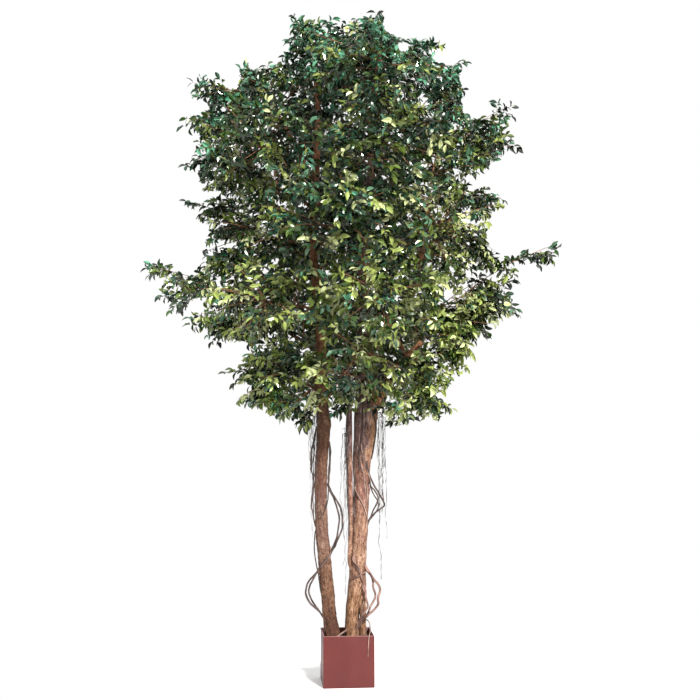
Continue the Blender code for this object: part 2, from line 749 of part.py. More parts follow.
def limb_inside(mass, masses, limbs):
    """The seat of a stem that leaves a limb running through the mass's own space, or None."""
    best = None
    for limb in limbs:
        tip, radius = limb.stations[-1]
        if mass.margin(tip, masses) > DIRECT_MARGIN and mass.share(tip) < DIRECT_SHARE:
            way = (tip - limb.stations[-2][0]).normalized()
            return Seat(tip + way * GAP, way, 0.9 * radius, None)
        for (low, radius), (high, _) in zip(limb.stations, limb.stations[1:]):
            for k in range(4):
                point = low.lerp(high, k / 4)
                if mass.margin(point, masses) > DIRECT_MARGIN and mass.share(point) < DIRECT_SHARE:
                    off = (mass.centre - point - Vector((0, 0, DIRECT_BELOW))).length
                    if best is None or off < best[0]:
                        way = (mass.centre - point).normalized()
                        best = (off, Seat(point, way, 0.6 * radius, limb))
    return best and best[1]


def nearest_limb(mass, limbs):
    """The limb that passes closest below the mass, and the point that the mass's bough leaves."""
    best = None
    for limb in limbs:
        height = min(mass.centre.z - BOUGH_FOOT, limb.stations[-1][0].z - LIMB_TIP)
        point, radius = limb.at_height(height)
        distance = (mass.centre - Vector((0, 0, 0.5 * BOUGH_FOOT)) - point).length
        clear = height > limb.stations[2][0].z
        if clear and (best is None or distance < best[3]):
            best = (limb, point, radius, distance)
    return best[:3]


def make_crown(limbs, sleeves, bark, leaves):
    """A bough to each mass that no limb runs through, then each mass: a stem, twigs and leaves in one."""
    masses = crown_masses()
    carriers = [limbs[n] for n in ("trunk_left", "trunk_right", "leader_left", "leader_low", "leader_high")]
    seats = []
    for mass in masses:
        seat = limb_inside(mass, masses, carriers)
        if seat:
            seats.append(seat)
            continue
        limb, foot, carrier_radius = nearest_limb(mass, carriers)
        way = (mass.centre - foot).normalized()
        entry = mass.centre - way * mass.spread * BOUGH_ENTRY
        while mass.margin(entry, masses) < DIRECT_MARGIN:
            entry = entry.lerp(mass.centre, 0.1)
        points = bow_path(foot, entry, 0, 3, (way + Vector((0, 0, BOUGH_RISE))).normalized())
        stations = tapered(points, (min(BOUGH_RADIUS[0], 0.7 * carrier_radius), BOUGH_RADIUS[1]))
        name = mass.name.replace("foliage", "bough")
        cut_clear(new_object(name, sweep(stations, 5), bark), limb.cutting())
        sleeves.append(sweep(stations, 5, grow=CLEARANCE))
        way = (points[-1] - points[-2]).normalized()
        seats.append(Seat(points[-1] + way * GAP, way, stations[-1][1], None))
    tree = search_tree(*[limb.sleeve() for limb in limbs.values()], *sleeves)
    count = 0
    for number, (mass, seat) in enumerate(zip(masses, seats)):
        grower = Grower(mass, masses, tree, number)
        tips = [Vector(tip) for tip in SPRIGS]
        tips = [tip for tip in tips if mass is max(masses, key=lambda m: m.margin(tip, masses))]
        grower.grow(seat, tips)
        obj = fuse(mass.name, grower.stem, grower.parts, leaves)
        if seat.limb:
            cut_clear(obj, seat.limb.cutting())
        count += len(grower.leaves)
    print("leaves:", count)


def main():
    for obj in list(bpy.data.objects):
        bpy.data.objects.remove(obj)
    bark = finish("grey_brown_bark", (0.230, 0.115, 0.070), 0.8)
    pale_bark = finish("pale_bark", (0.440, 0.235, 0.140), 0.75)
    vine = finish("dark_vine", (0.105, 0.060, 0.045), 0.8)
    leaf_green = finish("leaf_green", (0.050, 0.100, 0.030), 0.4)
    maroon = finish("maroon_lacquer", (0.280, 0.078, 0.070), 0.45)
    filling = finish("dark_filling", (0.080, 0.050, 0.035), 0.9)
    make_pot(maroon)
    make_fill(filling)
    limbs = make_limbs(bark, pale_bark)
    sleeves = make_lianas(limbs, vine)
    sleeves += make_roots(limbs, vine)
    make_crown(limbs, sleeves, bark, leaf_green)
    root = bpy.data.objects.new("banyan", None)
    bpy.context.scene.collection.objects.link(root)
    for obj in bpy.data.objects:
        if obj is not root and obj.parent is None:
            obj.parent = root


main()
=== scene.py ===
# %% [markdown]
# # An artificial banyan in a square planter
# The tree is put together by hand from real wood and cloth: two peeled trunks stand in a cast weight, lianas
# are wound round them, dry roots hang from short spurs, and wired twigs with cloth leaves are pegged into
# the boughs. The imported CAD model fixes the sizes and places. This script dresses it: bark with relief,
# twisted lianas, fine roots, and a crown that grows down to its leaves by the same seeded rule as the solids.

import json
import math
import random
from collections import namedtuple

import bmesh
import bpy
import numpy as np
from mathutils import Matrix, Vector, noise
from mathutils.bvhtree import BVHTree

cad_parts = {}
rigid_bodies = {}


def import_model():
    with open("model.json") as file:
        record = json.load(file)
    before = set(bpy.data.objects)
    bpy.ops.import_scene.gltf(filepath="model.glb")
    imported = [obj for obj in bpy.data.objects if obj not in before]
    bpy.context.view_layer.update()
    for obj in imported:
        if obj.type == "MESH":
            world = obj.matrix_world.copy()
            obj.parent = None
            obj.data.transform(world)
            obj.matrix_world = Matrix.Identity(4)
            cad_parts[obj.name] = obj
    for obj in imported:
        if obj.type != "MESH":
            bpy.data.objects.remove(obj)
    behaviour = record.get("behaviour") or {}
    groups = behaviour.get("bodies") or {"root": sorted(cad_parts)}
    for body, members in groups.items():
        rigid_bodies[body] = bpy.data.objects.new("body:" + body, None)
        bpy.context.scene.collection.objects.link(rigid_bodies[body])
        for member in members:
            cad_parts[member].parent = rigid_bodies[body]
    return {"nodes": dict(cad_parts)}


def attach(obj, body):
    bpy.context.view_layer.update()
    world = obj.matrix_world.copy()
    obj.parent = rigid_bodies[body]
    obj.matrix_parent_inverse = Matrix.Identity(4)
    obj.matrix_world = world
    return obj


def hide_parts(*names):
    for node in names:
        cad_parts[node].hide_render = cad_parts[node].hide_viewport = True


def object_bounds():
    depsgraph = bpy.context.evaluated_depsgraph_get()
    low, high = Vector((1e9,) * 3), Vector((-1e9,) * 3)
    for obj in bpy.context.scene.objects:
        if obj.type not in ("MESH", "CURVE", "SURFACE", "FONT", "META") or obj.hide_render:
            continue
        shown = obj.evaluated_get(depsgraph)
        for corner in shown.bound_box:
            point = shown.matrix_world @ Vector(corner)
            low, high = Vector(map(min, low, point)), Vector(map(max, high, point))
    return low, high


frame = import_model()
cad_box = [list(corner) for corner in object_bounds()]
SEED = 41  # the same seed as the solids, so that the same twigs grow
print("CAD nodes:", len(frame["nodes"]), "box:", [[round(v, 3) for v in corner] for corner in cad_box])

# %% [markdown]
# ## Camera
# A tall tree is best looked at from eye height, a little from one side, with the camera tipped upwards. A
# camera could be turned by hand with Euler angles, but a direction made into a rotation is easier to read.

# %% Camera
VIEW_TURN = math.radians(5)
VIEW_RISE = math.radians(6.3)
EYE_RIGHT, EYE_AWAY, EYE_HEIGHT = 0.0195, 6.4, 1.45  # in metres, from the middle of the planter's underside
LENS = 49.47  # focal length in mm
ahead = Vector((math.sin(VIEW_TURN), math.cos(VIEW_TURN), 0))
across = Vector((math.cos(VIEW_TURN), -math.sin(VIEW_TURN), 0))
camera = bpy.data.objects.new("camera", bpy.data.cameras.new("camera"))
bpy.context.scene.collection.objects.link(camera)
camera.location = across * EYE_RIGHT - ahead * EYE_AWAY + Vector((0, 0, EYE_HEIGHT))
look = ahead * math.cos(VIEW_RISE) + Vector((0, 0, math.sin(VIEW_RISE)))
camera.rotation_euler = look.to_track_quat("-Z", "Y").to_euler()
camera.data.lens = LENS
bpy.context.scene.camera = camera
print("camera at", [round(v, 3) for v in camera.location])

# %% [markdown]
# ## Studio
# A white room is made of three things: a white world that lights from all sides, a small pale floor, which
# comes last, and one soft sun. The sun comes from the upper right in front, and gives the leaves their bright
# and dark sides. A sun lights the floor evenly, where a lamp would leave a bright patch on it.

# %% World, floor and sun
world = bpy.data.worlds.new("white_room")
world.use_nodes = True
world.node_tree.nodes["Background"].inputs["Color"].default_value = (1, 1, 1, 1)
world.node_tree.nodes["Background"].inputs["Strength"].default_value = 1.0
bpy.context.scene.world = world
bpy.context.scene.view_settings.view_transform = "Standard"


def lamp(name, strength, angle, towards):
    """A soft sun that shines along this direction."""
    light = bpy.data.lights.new(name, "SUN")
    light.energy = strength
    light.angle = math.radians(angle)
    sun = bpy.data.objects.new(name, light)
    sun.rotation_euler = Vector(towards).to_track_quat("-Z", "Y").to_euler()
    bpy.context.scene.collection.objects.link(sun)


SUN_STRENGTH, SUN_WIDTH, SUN_WAY = 9.0, 14, (-0.36, 0.90, -0.82)
lamp("key_sun", SUN_STRENGTH, SUN_WIDTH, SUN_WAY)
print("sun strength:", SUN_STRENGTH)

# %% [markdown]
# ## Shader maths
# A material is a graph of nodes. To keep its sums readable, one small class stands for a socket and takes
# part in Python expressions, such as `1 - mask * 0.5`, and each operation adds a Math node. Another class
# adds any other node by its type, its settings and its inputs.


# %% Helpers for materials
class Wire:
    """The output of a node, which arithmetic turns into Math nodes."""

    def __init__(self, finish, socket):
        self.finish = finish
        self.socket = socket

    def maths(self, operation, first, second):
        """Adds a Math node."""
        return self.finish.node("Math", {"operation": operation}, {0: first, 1: second})

    def __add__(self, other):
        return self.maths("ADD", self, other)

    def __sub__(self, other):
        return self.maths("SUBTRACT", self, other)

    def __rsub__(self, other):
        return self.maths("SUBTRACT", other, self)

    def __mul__(self, other):
        return self.maths("MULTIPLY", self, other)

    def __pow__(self, other):
        return self.maths("POWER", self, other)

    __radd__ = __add__
    __rmul__ = __mul__


class Finish:
    """A material under construction, with its Principled BSDF."""

    def __init__(self, name, **sockets):
        self.material = bpy.data.materials.new(name)
        self.material.use_nodes = True
        self.tree = self.material.node_tree
        self.shader = self.tree.nodes["Principled BSDF"]
        self.wear(sockets)

    def wear(self, sockets):
        """Values or wires for the shader's sockets, whose names have _ for a space."""
        for name, value in sockets.items():
            self.feed(self.shader.inputs[name.replace("_", " ")], value)

    def feed(self, socket, value):
        """Links a wire to a socket, or sets its value."""
        if isinstance(value, Wire):
            self.tree.links.new(value.socket, socket)
        else:
            socket.default_value = value

    def node(self, kind, settings=None, inputs=None, out=0):
        """Adds a node: its settings first, then the values or wires of its inputs. Returns one output."""
        made = self.tree.nodes.new("ShaderNode" + kind)
        for key, value in (settings or {}).items():
            if key == "stops":
                while len(made.color_ramp.elements) < len(value):
                    made.color_ramp.elements.new(0.5)
                for stop, (place, colour) in zip(made.color_ramp.elements, value):
                    stop.position = place
                    stop.color = (*colour, 1) if isinstance(colour, tuple) else (colour, colour, colour, 1)
            else:
                setattr(made, key, value)
        for key, value in (inputs or {}).items():
            self.feed(made.inputs[key], value)
        return Wire(self, made.outputs[out])

    def noise(self, where, scale, detail=3.0, stretch=(1, 1, 1)):
        """Noise about 0.5. Its scale is in 1/m, and a small stretch draws it out along that axis."""
        placed = self.node("Mapping", {}, {"Vector": where, "Scale": stretch})
        return self.node("TexNoise", {}, {"Vector": placed, "Scale": scale, "Detail": detail})

    def ramp(self, value, *stops):
        """A colour ramp. Each stop is a place and a grey or a colour."""
        return self.node("ValToRGB", {"stops": stops}, {"Fac": value})

    def mix(self, factor, first, second):
        """A blend of two colours."""
        first, second = (c if isinstance(c, Wire) else (*c, 1) for c in (first, second))
        return self.node("Mix", {"data_type": "RGBA"}, {0: factor, 6: first, 7: second}, 2)

    def relief(self, height, distance):
        """Roughens the surface by a height between 0 and 1 that stands for this distance."""
        self.wear({"Normal": self.node("Bump", {}, {"Height": height, "Distance": distance})})


print("shader helpers ready")

# %% [markdown]
# ## Bark
# The trunks are real wood with most of the bark peeled off. Their colour has layers: long pale and dark
# fibres, fine flecks, wide stains, and small dark pits where twigs were. The layers follow the limb and not
# the room, so each limb's mesh carries an attribute named grain: a point on a straight cylinder that stands
# for the limb. Noise that is drawn out along that cylinder's axis gives fibres that bend with the limb. Each
# trunk also changes with the height above the floor: the left one is dark red at its foot, and the right one
# turns to grey strands below its fork, but only on its left side.
# Higher up, the right trunk's right side stays a light amber: a painted highlight where the sun strikes it.


# %% Bark finishes
TALLEST = 4.0  # a ramp reads 0 to 1, so heights are shares of this


def bark_finish(name, palettes, pits, stain, squash=1.0, patchy=0.65, west=False):
    """Bark with four colours from each height up. With west, the last four keep to the left side, and the
    right keeps the four before them, which on the right trunk are a painted highlight.
    """
    make = Finish(name, Roughness=0.78, Specular_IOR_Level=0.2)
    grain = make.node("Attribute", {"attribute_name": "grain"}, out=1)
    height = make.node("SeparateXYZ", {}, {0: make.node("TexCoord", out=3)}, 2)
    fibre = make.noise(grain, 1.0, 5.0, (110, 110, 16))
    fleck = make.noise(grain, 130.0, 3.0, (1, 1, 0.8 * squash))
    patch = make.noise(grain, 46.0, 3.0, (1, 1, 0.6 * squash))
    blotch = make.noise(grain, 18.0, 3.0, (1, 1, 0.6))
    level = fibre * 0.45 + fleck * 0.45 + patch * patchy + blotch * 0.35 - (0.125 + 0.5 * patchy)
    colour = None
    for start, shades in palettes:
        shade = make.ramp(level, *zip((0.33, 0.45, 0.56, 0.68), shades))
        if colour:
            ragged = (height + blotch * 0.30 - 0.15) * (1 / TALLEST)
            share = make.ramp(ragged, (start / TALLEST - 0.02, 0.0), (start / TALLEST + 0.02, 1.0))
            # painted highlight: with west, the palette before the last one stays on the right side
            if west and start == palettes[-1][0]:
                side = make.node("SeparateXYZ", {}, {0: grain}, 0)
                share = share * make.ramp(side * 6.5 + blotch * 0.9, (0.50, 1.0), (0.72, 0.0))
            shade = make.mix(share, colour, shade)
        colour = shade
    stained = make.ramp(make.noise(grain, 13.0, 3.0, (1, 1, 0.4)), (0.52, 0.0), (0.64, 1.0))
    colour = make.mix(stained * stain[0], colour, stain[1])
    squashed = make.node("Mapping", {}, {"Vector": grain, "Scale": (1, 1, squash)})
    cell = make.node("TexVoronoi", {}, {"Vector": squashed, "Scale": 42.0})
    depth = cell + fleck * 0.5 + (1 - make.noise(grain, 10.0, 2.0)) * 1.1
    hollow = make.ramp(depth, (0.86, 1.0), (1.06, 0.0))
    make.wear({"Base_Color": make.mix(hollow * pits[0], colour, pits[1])})
    make.relief(fibre * 0.3 + fleck * 0.25 + patch * 0.45 - hollow * 0.4, 0.012)
    return make.material


GOLD = ((0.046, 0.018, 0.008), (0.115, 0.053, 0.024), (0.185, 0.096, 0.051), (0.283, 0.172, 0.103))
PALE = ((0.059, 0.026, 0.017), (0.144, 0.072, 0.044), (0.224, 0.125, 0.079), (0.329, 0.208, 0.144))
PINK = ((0.047, 0.018, 0.013), (0.116, 0.051, 0.035), (0.191, 0.093, 0.065), (0.307, 0.170, 0.126))
# painted highlight: a light amber for the sunlit right side of the right trunk's upper part
AMBER_HIGHLIGHT = ((0.073, 0.032, 0.015), (0.182, 0.089, 0.046), (0.286, 0.155, 0.087), (0.418, 0.267, 0.174))
GREY = ((0.034, 0.020, 0.019), (0.096, 0.056, 0.050), (0.178, 0.110, 0.097), (0.320, 0.220, 0.196))
WINE = ((0.014, 0.004, 0.003), (0.038, 0.015, 0.007), (0.072, 0.031, 0.016), (0.119, 0.060, 0.034))
RUST = ((0.032, 0.013, 0.006), (0.074, 0.034, 0.018), (0.116, 0.057, 0.032), (0.170, 0.099, 0.063))
TAN = ((0.041, 0.019, 0.012), (0.093, 0.048, 0.032), (0.142, 0.079, 0.055), (0.205, 0.128, 0.095))
# painted light: warm orange-brown made brighter against the crown's shade, on the left trunk's top and boughs
EMBER_PAINTED_LIGHT = ((0.073, 0.031, 0.015), (0.195, 0.085, 0.041), (0.342, 0.158, 0.080), (0.512, 0.273, 0.151))
bark = {
    "right": bark_finish(
        "peeled_pale_bark",
        ((0.0, GOLD), (0.62, PALE), (1.10, PINK), (1.38, AMBER_HIGHLIGHT), (1.42, GREY)),
        (0.60, (0.060, 0.021, 0.013)),
        (0.42, (0.100, 0.042, 0.036)),
        west=True,
    ),
    "left": bark_finish(
        "peeled_tan_bark",
        ((0.0, WINE), (0.52, RUST), (0.82, TAN), (1.28, RUST), (1.95, EMBER_PAINTED_LIGHT)),
        (0.55, (0.034, 0.010, 0.007)),
        (0.62, (0.066, 0.024, 0.016)),
        squash=1.7,
        patchy=0.45,
    ),
    "bough": bark_finish(
        "bough_bark", ((0.0, EMBER_PAINTED_LIGHT),), (0.50, (0.025, 0.008, 0.005)), (0.50, (0.200, 0.085, 0.036))
    ),
}
print("bark finishes:", ", ".join(material.name for material in bark.values()))

# %% [markdown]
# ## Lianas, roots and twigs
# Lianas and the thin stems that cling to the bark come in three colours: dark, rosy and straw. The dark and
# the straw stems are a shaded and a lit copy of one colour, painted shade and painted light. They take the
# grain attribute too. A hanging root or a twig is too thin to show a pattern, so it gets a plain colour that
# only varies from place to place in the room.


# %% Finishes of thin stems
def stem_finish(name, dark, light):
    """Bark for a thin stem: fibres in two colours that run along its grain."""
    make = Finish(name, Roughness=0.7, Specular_IOR_Level=0.3)
    grain = make.node("Attribute", {"attribute_name": "grain"}, out=1)
    level = make.noise(grain, 1.0, 4.0, (140, 140, 14))
    make.wear({"Base_Color": make.ramp(level, (0.36, dark), (0.62, light))})
    make.relief(level, 0.002)
    return make.material


def twig_finish(name, dark, light):
    """A colour that varies a little from place to place."""
    make = Finish(name, Roughness=0.65)
    level = make.noise(make.node("TexCoord", out=3), 30.0, 2.0)
    make.wear({"Base_Color": make.ramp(level, (0.35, dark), (0.65, light))})
    return make.material


vines = {
    # painted light on the straw stems and painted shade on the dark ones: a lit and a shaded copy of one
    # colour
    "straw": stem_finish("straw_root", (0.093, 0.048, 0.036), (0.310, 0.210, 0.170)),
    "dark": stem_finish("liana_bark", (0.013, 0.008, 0.006), (0.080, 0.050, 0.040)),
    "rosy": stem_finish("rosy_liana_bark", (0.030, 0.013, 0.010), (0.225, 0.125, 0.095)),
}
hair = twig_finish("dry_hanging_root", (0.017, 0.013, 0.012), (0.076, 0.060, 0.056))
twig_bark = twig_finish("wired_twig", (0.050, 0.018, 0.008), (0.240, 0.105, 0.042))
print("stem finishes:", len(vines) + 2)

# %% [markdown]
# ## Leaf cloth
# The leaves are printed cloth, a little glossy. A real tree's leaves differ spray by spray: old ones are
# nearly black, new ones yellow-green. The two palest tones are partly painted highlights as well, where the
# sun falls on a spray. Each spray gets one plain colour from this short list, picked by chance with weights,
# because a pattern on thousands of small leaves would only turn to noise.

# %% Leaf colours
Tone = namedtuple("Tone", "name colour roughness low_right high_left top")
TONES = (  # the last three are the weights low on the right, high on the left, and at the top
    Tone("leaf_night", (0.004, 0.008, 0.004), 0.21, 4, 6, 4),
    Tone("leaf_deep", (0.007, 0.018, 0.006), 0.21, 4, 6, 3),
    Tone("leaf_cool", (0.008, 0.036, 0.019), 0.20, 1, 7, 8),
    Tone("leaf_green", (0.026, 0.057, 0.011), 0.21, 5, 5, 4),
    Tone("leaf_sea", (0.051, 0.126, 0.068), 0.20, 1.5, 4.5, 8),
    Tone("leaf_jade", (0.068, 0.224, 0.128), 0.20, 0.2, 1.2, 12),
    Tone("leaf_olive", (0.082, 0.119, 0.018), 0.21, 6, 3, 2),
    # the last two are partly painted highlights: pale yellow-green that stands in for sunlit sprays
    Tone("leaf_fresh", (0.205, 0.248, 0.058), 0.23, 8.2, 2.3, 2.2),
    Tone("leaf_young", (0.440, 0.475, 0.220), 0.25, 5.4, 1.1, 1.3),
)
leaf_cloth = []
GLEAM = (0.94, 1.00, 0.84, 1)  # the tint of the coating's highlights
for tone in TONES:
    cloth = Finish(tone.name, Roughness=tone.roughness, Base_Color=(*tone.colour, 1), Specular_IOR_Level=0.8)
    cloth.wear({"Specular_Tint": GLEAM})
    leaf_cloth.append(cloth.material)
print("leaf tones:", len(leaf_cloth))

# %% [markdown]
# ## Paths and tubes
# Every limb is a tube round a smooth path through a few points with a radius each. Blender's curves could
# make it, but a grid of faces that is rolled into a tube lets each point move for bark, flutes and roots. The
# grid's columns go round the limb, its rows go along, and merging doubles closes the seam.


# %% Paths and frames
def smooth_path(controls, step):
    """Stations (point, radius) about step apart, on a Catmull-Rom curve through the controls."""
    knots = [Vector(c) for c in controls]
    knots = [2 * knots[0] - knots[1], *knots, 2 * knots[-1] - knots[-2]]
    stations = []
    for before, start, end, after in zip(knots, knots[1:], knots[2:], knots[3:]):
        pieces = max(1, round((end - start).xyz.length / step))
        for k in range(pieces):
            t = k / pieces
            curve = 2 * start + (end - before) * t
            curve += (2 * before - 5 * start + 4 * end - after) * t**2
            curve += (3 * start - before - 3 * end + after) * t**3
            stations.append((0.5 * curve.xyz, 0.5 * curve.w))
    stations.append((knots[-2].xyz, knots[-2].w))
    return stations


def first_frame(way):
    """A rotation whose Z is this way and whose X points east, or north for a limb that runs east."""
    way = way.normalized()
    east = Vector((1, 0, 0)) if abs(way.x) < 0.9 else Vector((0, 1, 0))
    north = way.cross(east).normalized()
    return Matrix((north.cross(way), north, way)).transposed()


def frames_along(points):
    """A rotation at each point whose Z runs along the path, turned as little as can be."""
    frames = []
    for k in range(len(points)):
        way = points[min(k + 1, len(points) - 1)] - points[max(k - 1, 0)]
        if frames:
            last = frames[-1]
            frames.append(last.col[2].rotation_difference(way).to_matrix() @ last)
        else:
            frames.append(first_frame(way))
    return frames


def tube(stations, sides, shape=None, flat_foot=False, girth=None):
    """A closed tube. shape(turn, height, distance) gives a share of the radius and metres to add to it."""
    bm = bmesh.new()
    rows = len(stations) - 1
    bmesh.ops.create_grid(bm, x_segments=sides, y_segments=rows, size=0.5)
    grain = bm.verts.layers.float_vector.new("grain")
    points = [point for point, _ in stations]
    frames = frames_along(points)
    lengths = [0.0]
    for a, b in zip(points, points[1:]):
        lengths.append(lengths[-1] + (b - a).length)
    girth = girth or max(radius for _, radius in stations)
    for vert in bm.verts:
        row = round((vert.co.y + 0.5) * rows)
        turn = math.tau * round((vert.co.x + 0.5) * sides) / sides
        centre, radius = stations[row]
        spoke = frames[row] @ Vector((math.cos(turn), math.sin(turn), 0))
        share, more = 1.0, 0.0
        if shape:
            share, more = shape(math.atan2(spoke.y, spoke.x), centre.z, lengths[row])
        vert.co = centre + spoke * (radius * share + more)
        if flat_foot and row == 0:
            vert.co.z = centre.z
        vert[grain] = (girth * math.cos(turn), girth * math.sin(turn), lengths[row])
    bmesh.ops.remove_doubles(bm, verts=bm.verts[:], dist=1e-5)
    bmesh.ops.holes_fill(bm, edges=[e for e in bm.edges if e.is_boundary], sides=0)
    bmesh.ops.recalc_face_normals(bm, faces=bm.faces[:])
    return bm


def piece(name, bms, materials, replaces=(), smooth=True):
    """One object out of several meshes, riding on the tree and standing for these CAD nodes."""
    mesh = bpy.data.meshes.new(name)
    whole = bms[0]
    for bm in bms[1:]:
        part = bpy.data.meshes.new("part")
        bm.to_mesh(part)
        whole.from_mesh(part)
        bpy.data.meshes.remove(part)
        bm.free()
    whole.to_mesh(mesh)
    whole.free()
    if smooth:
        mesh.shade_smooth()
        mesh.set_sharp_from_angle(angle=math.radians(45))
    return dress(name, mesh, materials, replaces)


def dress(name, mesh, materials, replaces=()):
    """An object with this mesh and these materials, riding on the tree and standing for these nodes."""
    for material in materials:
        mesh.materials.append(material)
    obj = bpy.data.objects.new(name, mesh)
    bpy.context.scene.collection.objects.link(obj)
    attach(obj, "root")
    if replaces:
        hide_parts(*replaces)
    print(f"{name}: {len(mesh.polygons)} faces")
    return obj


print("tube helpers ready")

# %% [markdown]
# ## The limbs
# These are the same points as in the solids: x, y, z and radius at each bend, foot first. The two trunks are
# not round. The left one has shallow flutes, one root that flares at its foot, and a knot near the first
# leaves. The right one shows three fused stems below its fork.

# %% Limb sizes
FILL_TOP = 0.285
FOOT = FILL_TOP + 0.0003  # the trunks stand a hair clear of the filling
LIMBS = {
    "trunk_left": (
        (-0.101, -0.015, FOOT, 0.044), (-0.115, -0.016, 0.42, 0.044), (-0.1405, -0.02, 0.7, 0.043),
        (-0.1685, -0.03, 1.0, 0.0415), (-0.1735, -0.042, 1.35, 0.0405), (-0.1585, -0.05, 1.65, 0.044),
        (-0.1775, -0.055, 1.87, 0.042), (-0.1815, -0.075, 2.36, 0.034), (-0.2325, -0.08, 2.8, 0.03),
        (-0.2195, -0.06, 3.32, 0.026), (-0.2025, -0.035, 3.68, 0.02), (-0.2105, -0.05, 4.02, 0.013),
    ),
    "trunk_right": (
        (0.033, 0.015, FOOT, 0.0475), (0.036, 0.015, 0.42, 0.0455), (0.047, 0.015, 0.54, 0.047),
        (0.068, 0.018, 0.68, 0.0545), (0.082, 0.022, 0.9, 0.052), (0.097, 0.028, 1.15, 0.05),
        (0.102, 0.034, 1.4, 0.057), (0.116, 0.04, 1.58, 0.066), (0.129, 0.044, 1.74, 0.076),
        (0.127, 0.05, 1.93, 0.06), (0.126, 0.058, 2.16, 0.046), (0.127, 0.07, 2.5, 0.037),
        (0.116, 0.08, 2.75, 0.031), (0.155, 0.07, 3.22, 0.024), (0.169, 0.04, 3.54, 0.019),
        (0.159, -0.01, 3.8, 0.0155), (0.184, -0.07, 4.02, 0.012),
    ),
    "side_stem": (
        (0.104, 0.005, FOOT, 0.0235), (0.105, 0.004, 0.42, 0.02), (0.109, 0.005, 0.54, 0.016),
        (0.113, 0.009, 0.64, 0.0135), (0.104, 0.014, 0.73, 0.01),
    ),
    "slim_stem": (
        (0.0695, 0.0, 0.66, 0.01), (0.0195, -0.004, 0.75, 0.013), (0.0215, 0.0, 0.9, 0.015),
        (0.0235, 0.0, 1.15, 0.0155), (0.0185, -0.006, 1.43, 0.0165), (0.0165, -0.014, 1.62, 0.0175),
        (0.0115, -0.02, 1.85, 0.016), (0.0075, -0.03, 2.04, 0.012),
    ),
    "leader_left": (
        (-0.2225, -0.068, 3.2, 0.018), (-0.2955, -0.06, 3.42, 0.0165), (-0.4255, -0.075, 3.66, 0.0125),
    ),
    "leader_low": (
        (0.1295, 0.04, 1.7, 0.033), (0.2245, 0.01, 1.86, 0.032), (0.3295, -0.02, 2.04, 0.028),
        (0.4195, -0.028, 2.13, 0.024), (0.4995, -0.025, 2.21, 0.02),
    ),
    "leader_high": (
        (0.1265, 0.058, 2.1, 0.027), (0.2645, 0.08, 2.28, 0.026), (0.3695, 0.09, 2.42, 0.0235),
        (0.4695, 0.075, 2.62, 0.021), (0.5295, 0.05, 2.9, 0.017), (0.5595, 0.02, 3.16, 0.013),
    ),
}
STEPS = {  # how far apart the stations of each large limb are
    "trunk_left": 0.18,
    "trunk_right": 0.16,
    "leader_left": 0.12,
    "leader_low": 0.14,
    "leader_high": 0.15,
}
SMALL_STEP = 0.1  # for the other limbs
stations = {name: smooth_path(controls, STEPS.get(name, SMALL_STEP)) for name, controls in LIMBS.items()}
print("limbs:", ", ".join(f"{name} {len(found)} stations" for name, found in stations.items()))

# %% [markdown]
# ## The trunks' outlines
# A trunk's outline is a circle times a share, which makes flutes, flares and knots, plus a few millimetres of
# relief from noise. Both are functions of the turn round the limb and the height, so whatever is laid on the
# bark later can ask the same functions where the bark is.


# %% Outlines and relief of the trunks
def fade(value, start, end):
    """0 before start and 1 after end, smoothly between; start may be the larger."""
    t = min(1.0, max(0.0, (value - start) / (end - start)))
    return t * t * (3 - 2 * t)


def lobe(turn, middle, width):
    """1 at the middle turn and 0 away from it."""
    apart = math.atan2(math.sin(turn - middle), math.cos(turn - middle))
    return math.exp(-((apart / width) ** 2))


def wood(turn, distance, squeeze, lumps):
    """Noise round and along a limb, from -1 to 1."""
    place = (math.cos(turn) * lumps, math.sin(turn) * lumps, distance * squeeze)
    return noise.fractal(place, 1.0, 2.0, 3)


def left_shape(turn, height, distance):
    """The left trunk: shallow flutes, a flare at the foot, a knot and fine rings."""
    share = 1 + 0.025 * math.cos(3 * turn + 1.9 * height)
    share += 0.35 * lobe(turn, -0.2, 0.5) * fade(height, 0.46, FOOT)
    share += 0.20 * lobe(turn, 0.0, 0.6) * math.exp(-(((height - 1.655) / 0.035) ** 2))
    rings = 0.0009 * math.sin(height * 150 + 3 * wood(turn, distance, 6, 1.0))
    return share, rings + 0.0036 * wood(turn, distance, 15, 1.5)


def right_shape(turn, height, distance):
    """The right trunk: three fused stems below the crown, ridged with strands."""
    share = 1 + 0.03 * math.cos(3 * turn - 1.4 * height) + 0.06 * fade(height, 0.40, FOOT)
    strands = fade(height, 1.20, 1.60) * fade(height, 2.30, 1.95)
    share += 0.085 * math.cos(3 * turn + 0.9) * fade(height, 1.30, 1.62) * fade(height, 2.05, 1.85)
    ridge = abs(math.sin(7 * turn + 2.2 * math.sin(1.7 * height) + wood(turn, distance, 3, 0.8)))
    return share, 0.0060 * strands * (ridge - 0.5) + 0.0034 * wood(turn, distance, 13, 1.6)


def plain_shape(turn, height, distance):
    """A round limb with small lumps."""
    return 1.0, 0.0010 * wood(turn, distance, 22, 1.4)


def side_shape(turn, height, distance):
    """A web of bark closes the narrow gap between the side stem and the right trunk."""
    web = 0.020 * lobe(turn, math.pi, 0.9) * fade(height, 0.40, 0.50) * fade(height, 0.72, 0.62)
    return 1.0, web + 0.0010 * wood(turn, distance, 22, 1.4)


OUTLINES = {"trunk_left": left_shape, "trunk_right": right_shape, "side_stem": side_shape}


def axis_at(name, height):
    """The limb's axis point and radius at a height."""
    limb = stations[name]
    for (low, r_low), (high, r_high) in zip(limb, limb[1:]):
        if low.z <= height <= high.z:
            t = (height - low.z) / (high.z - low.z)
            return low.lerp(high, t), r_low + (r_high - r_low) * t
    return limb[-1] if height > limb[-1][0].z else limb[0]


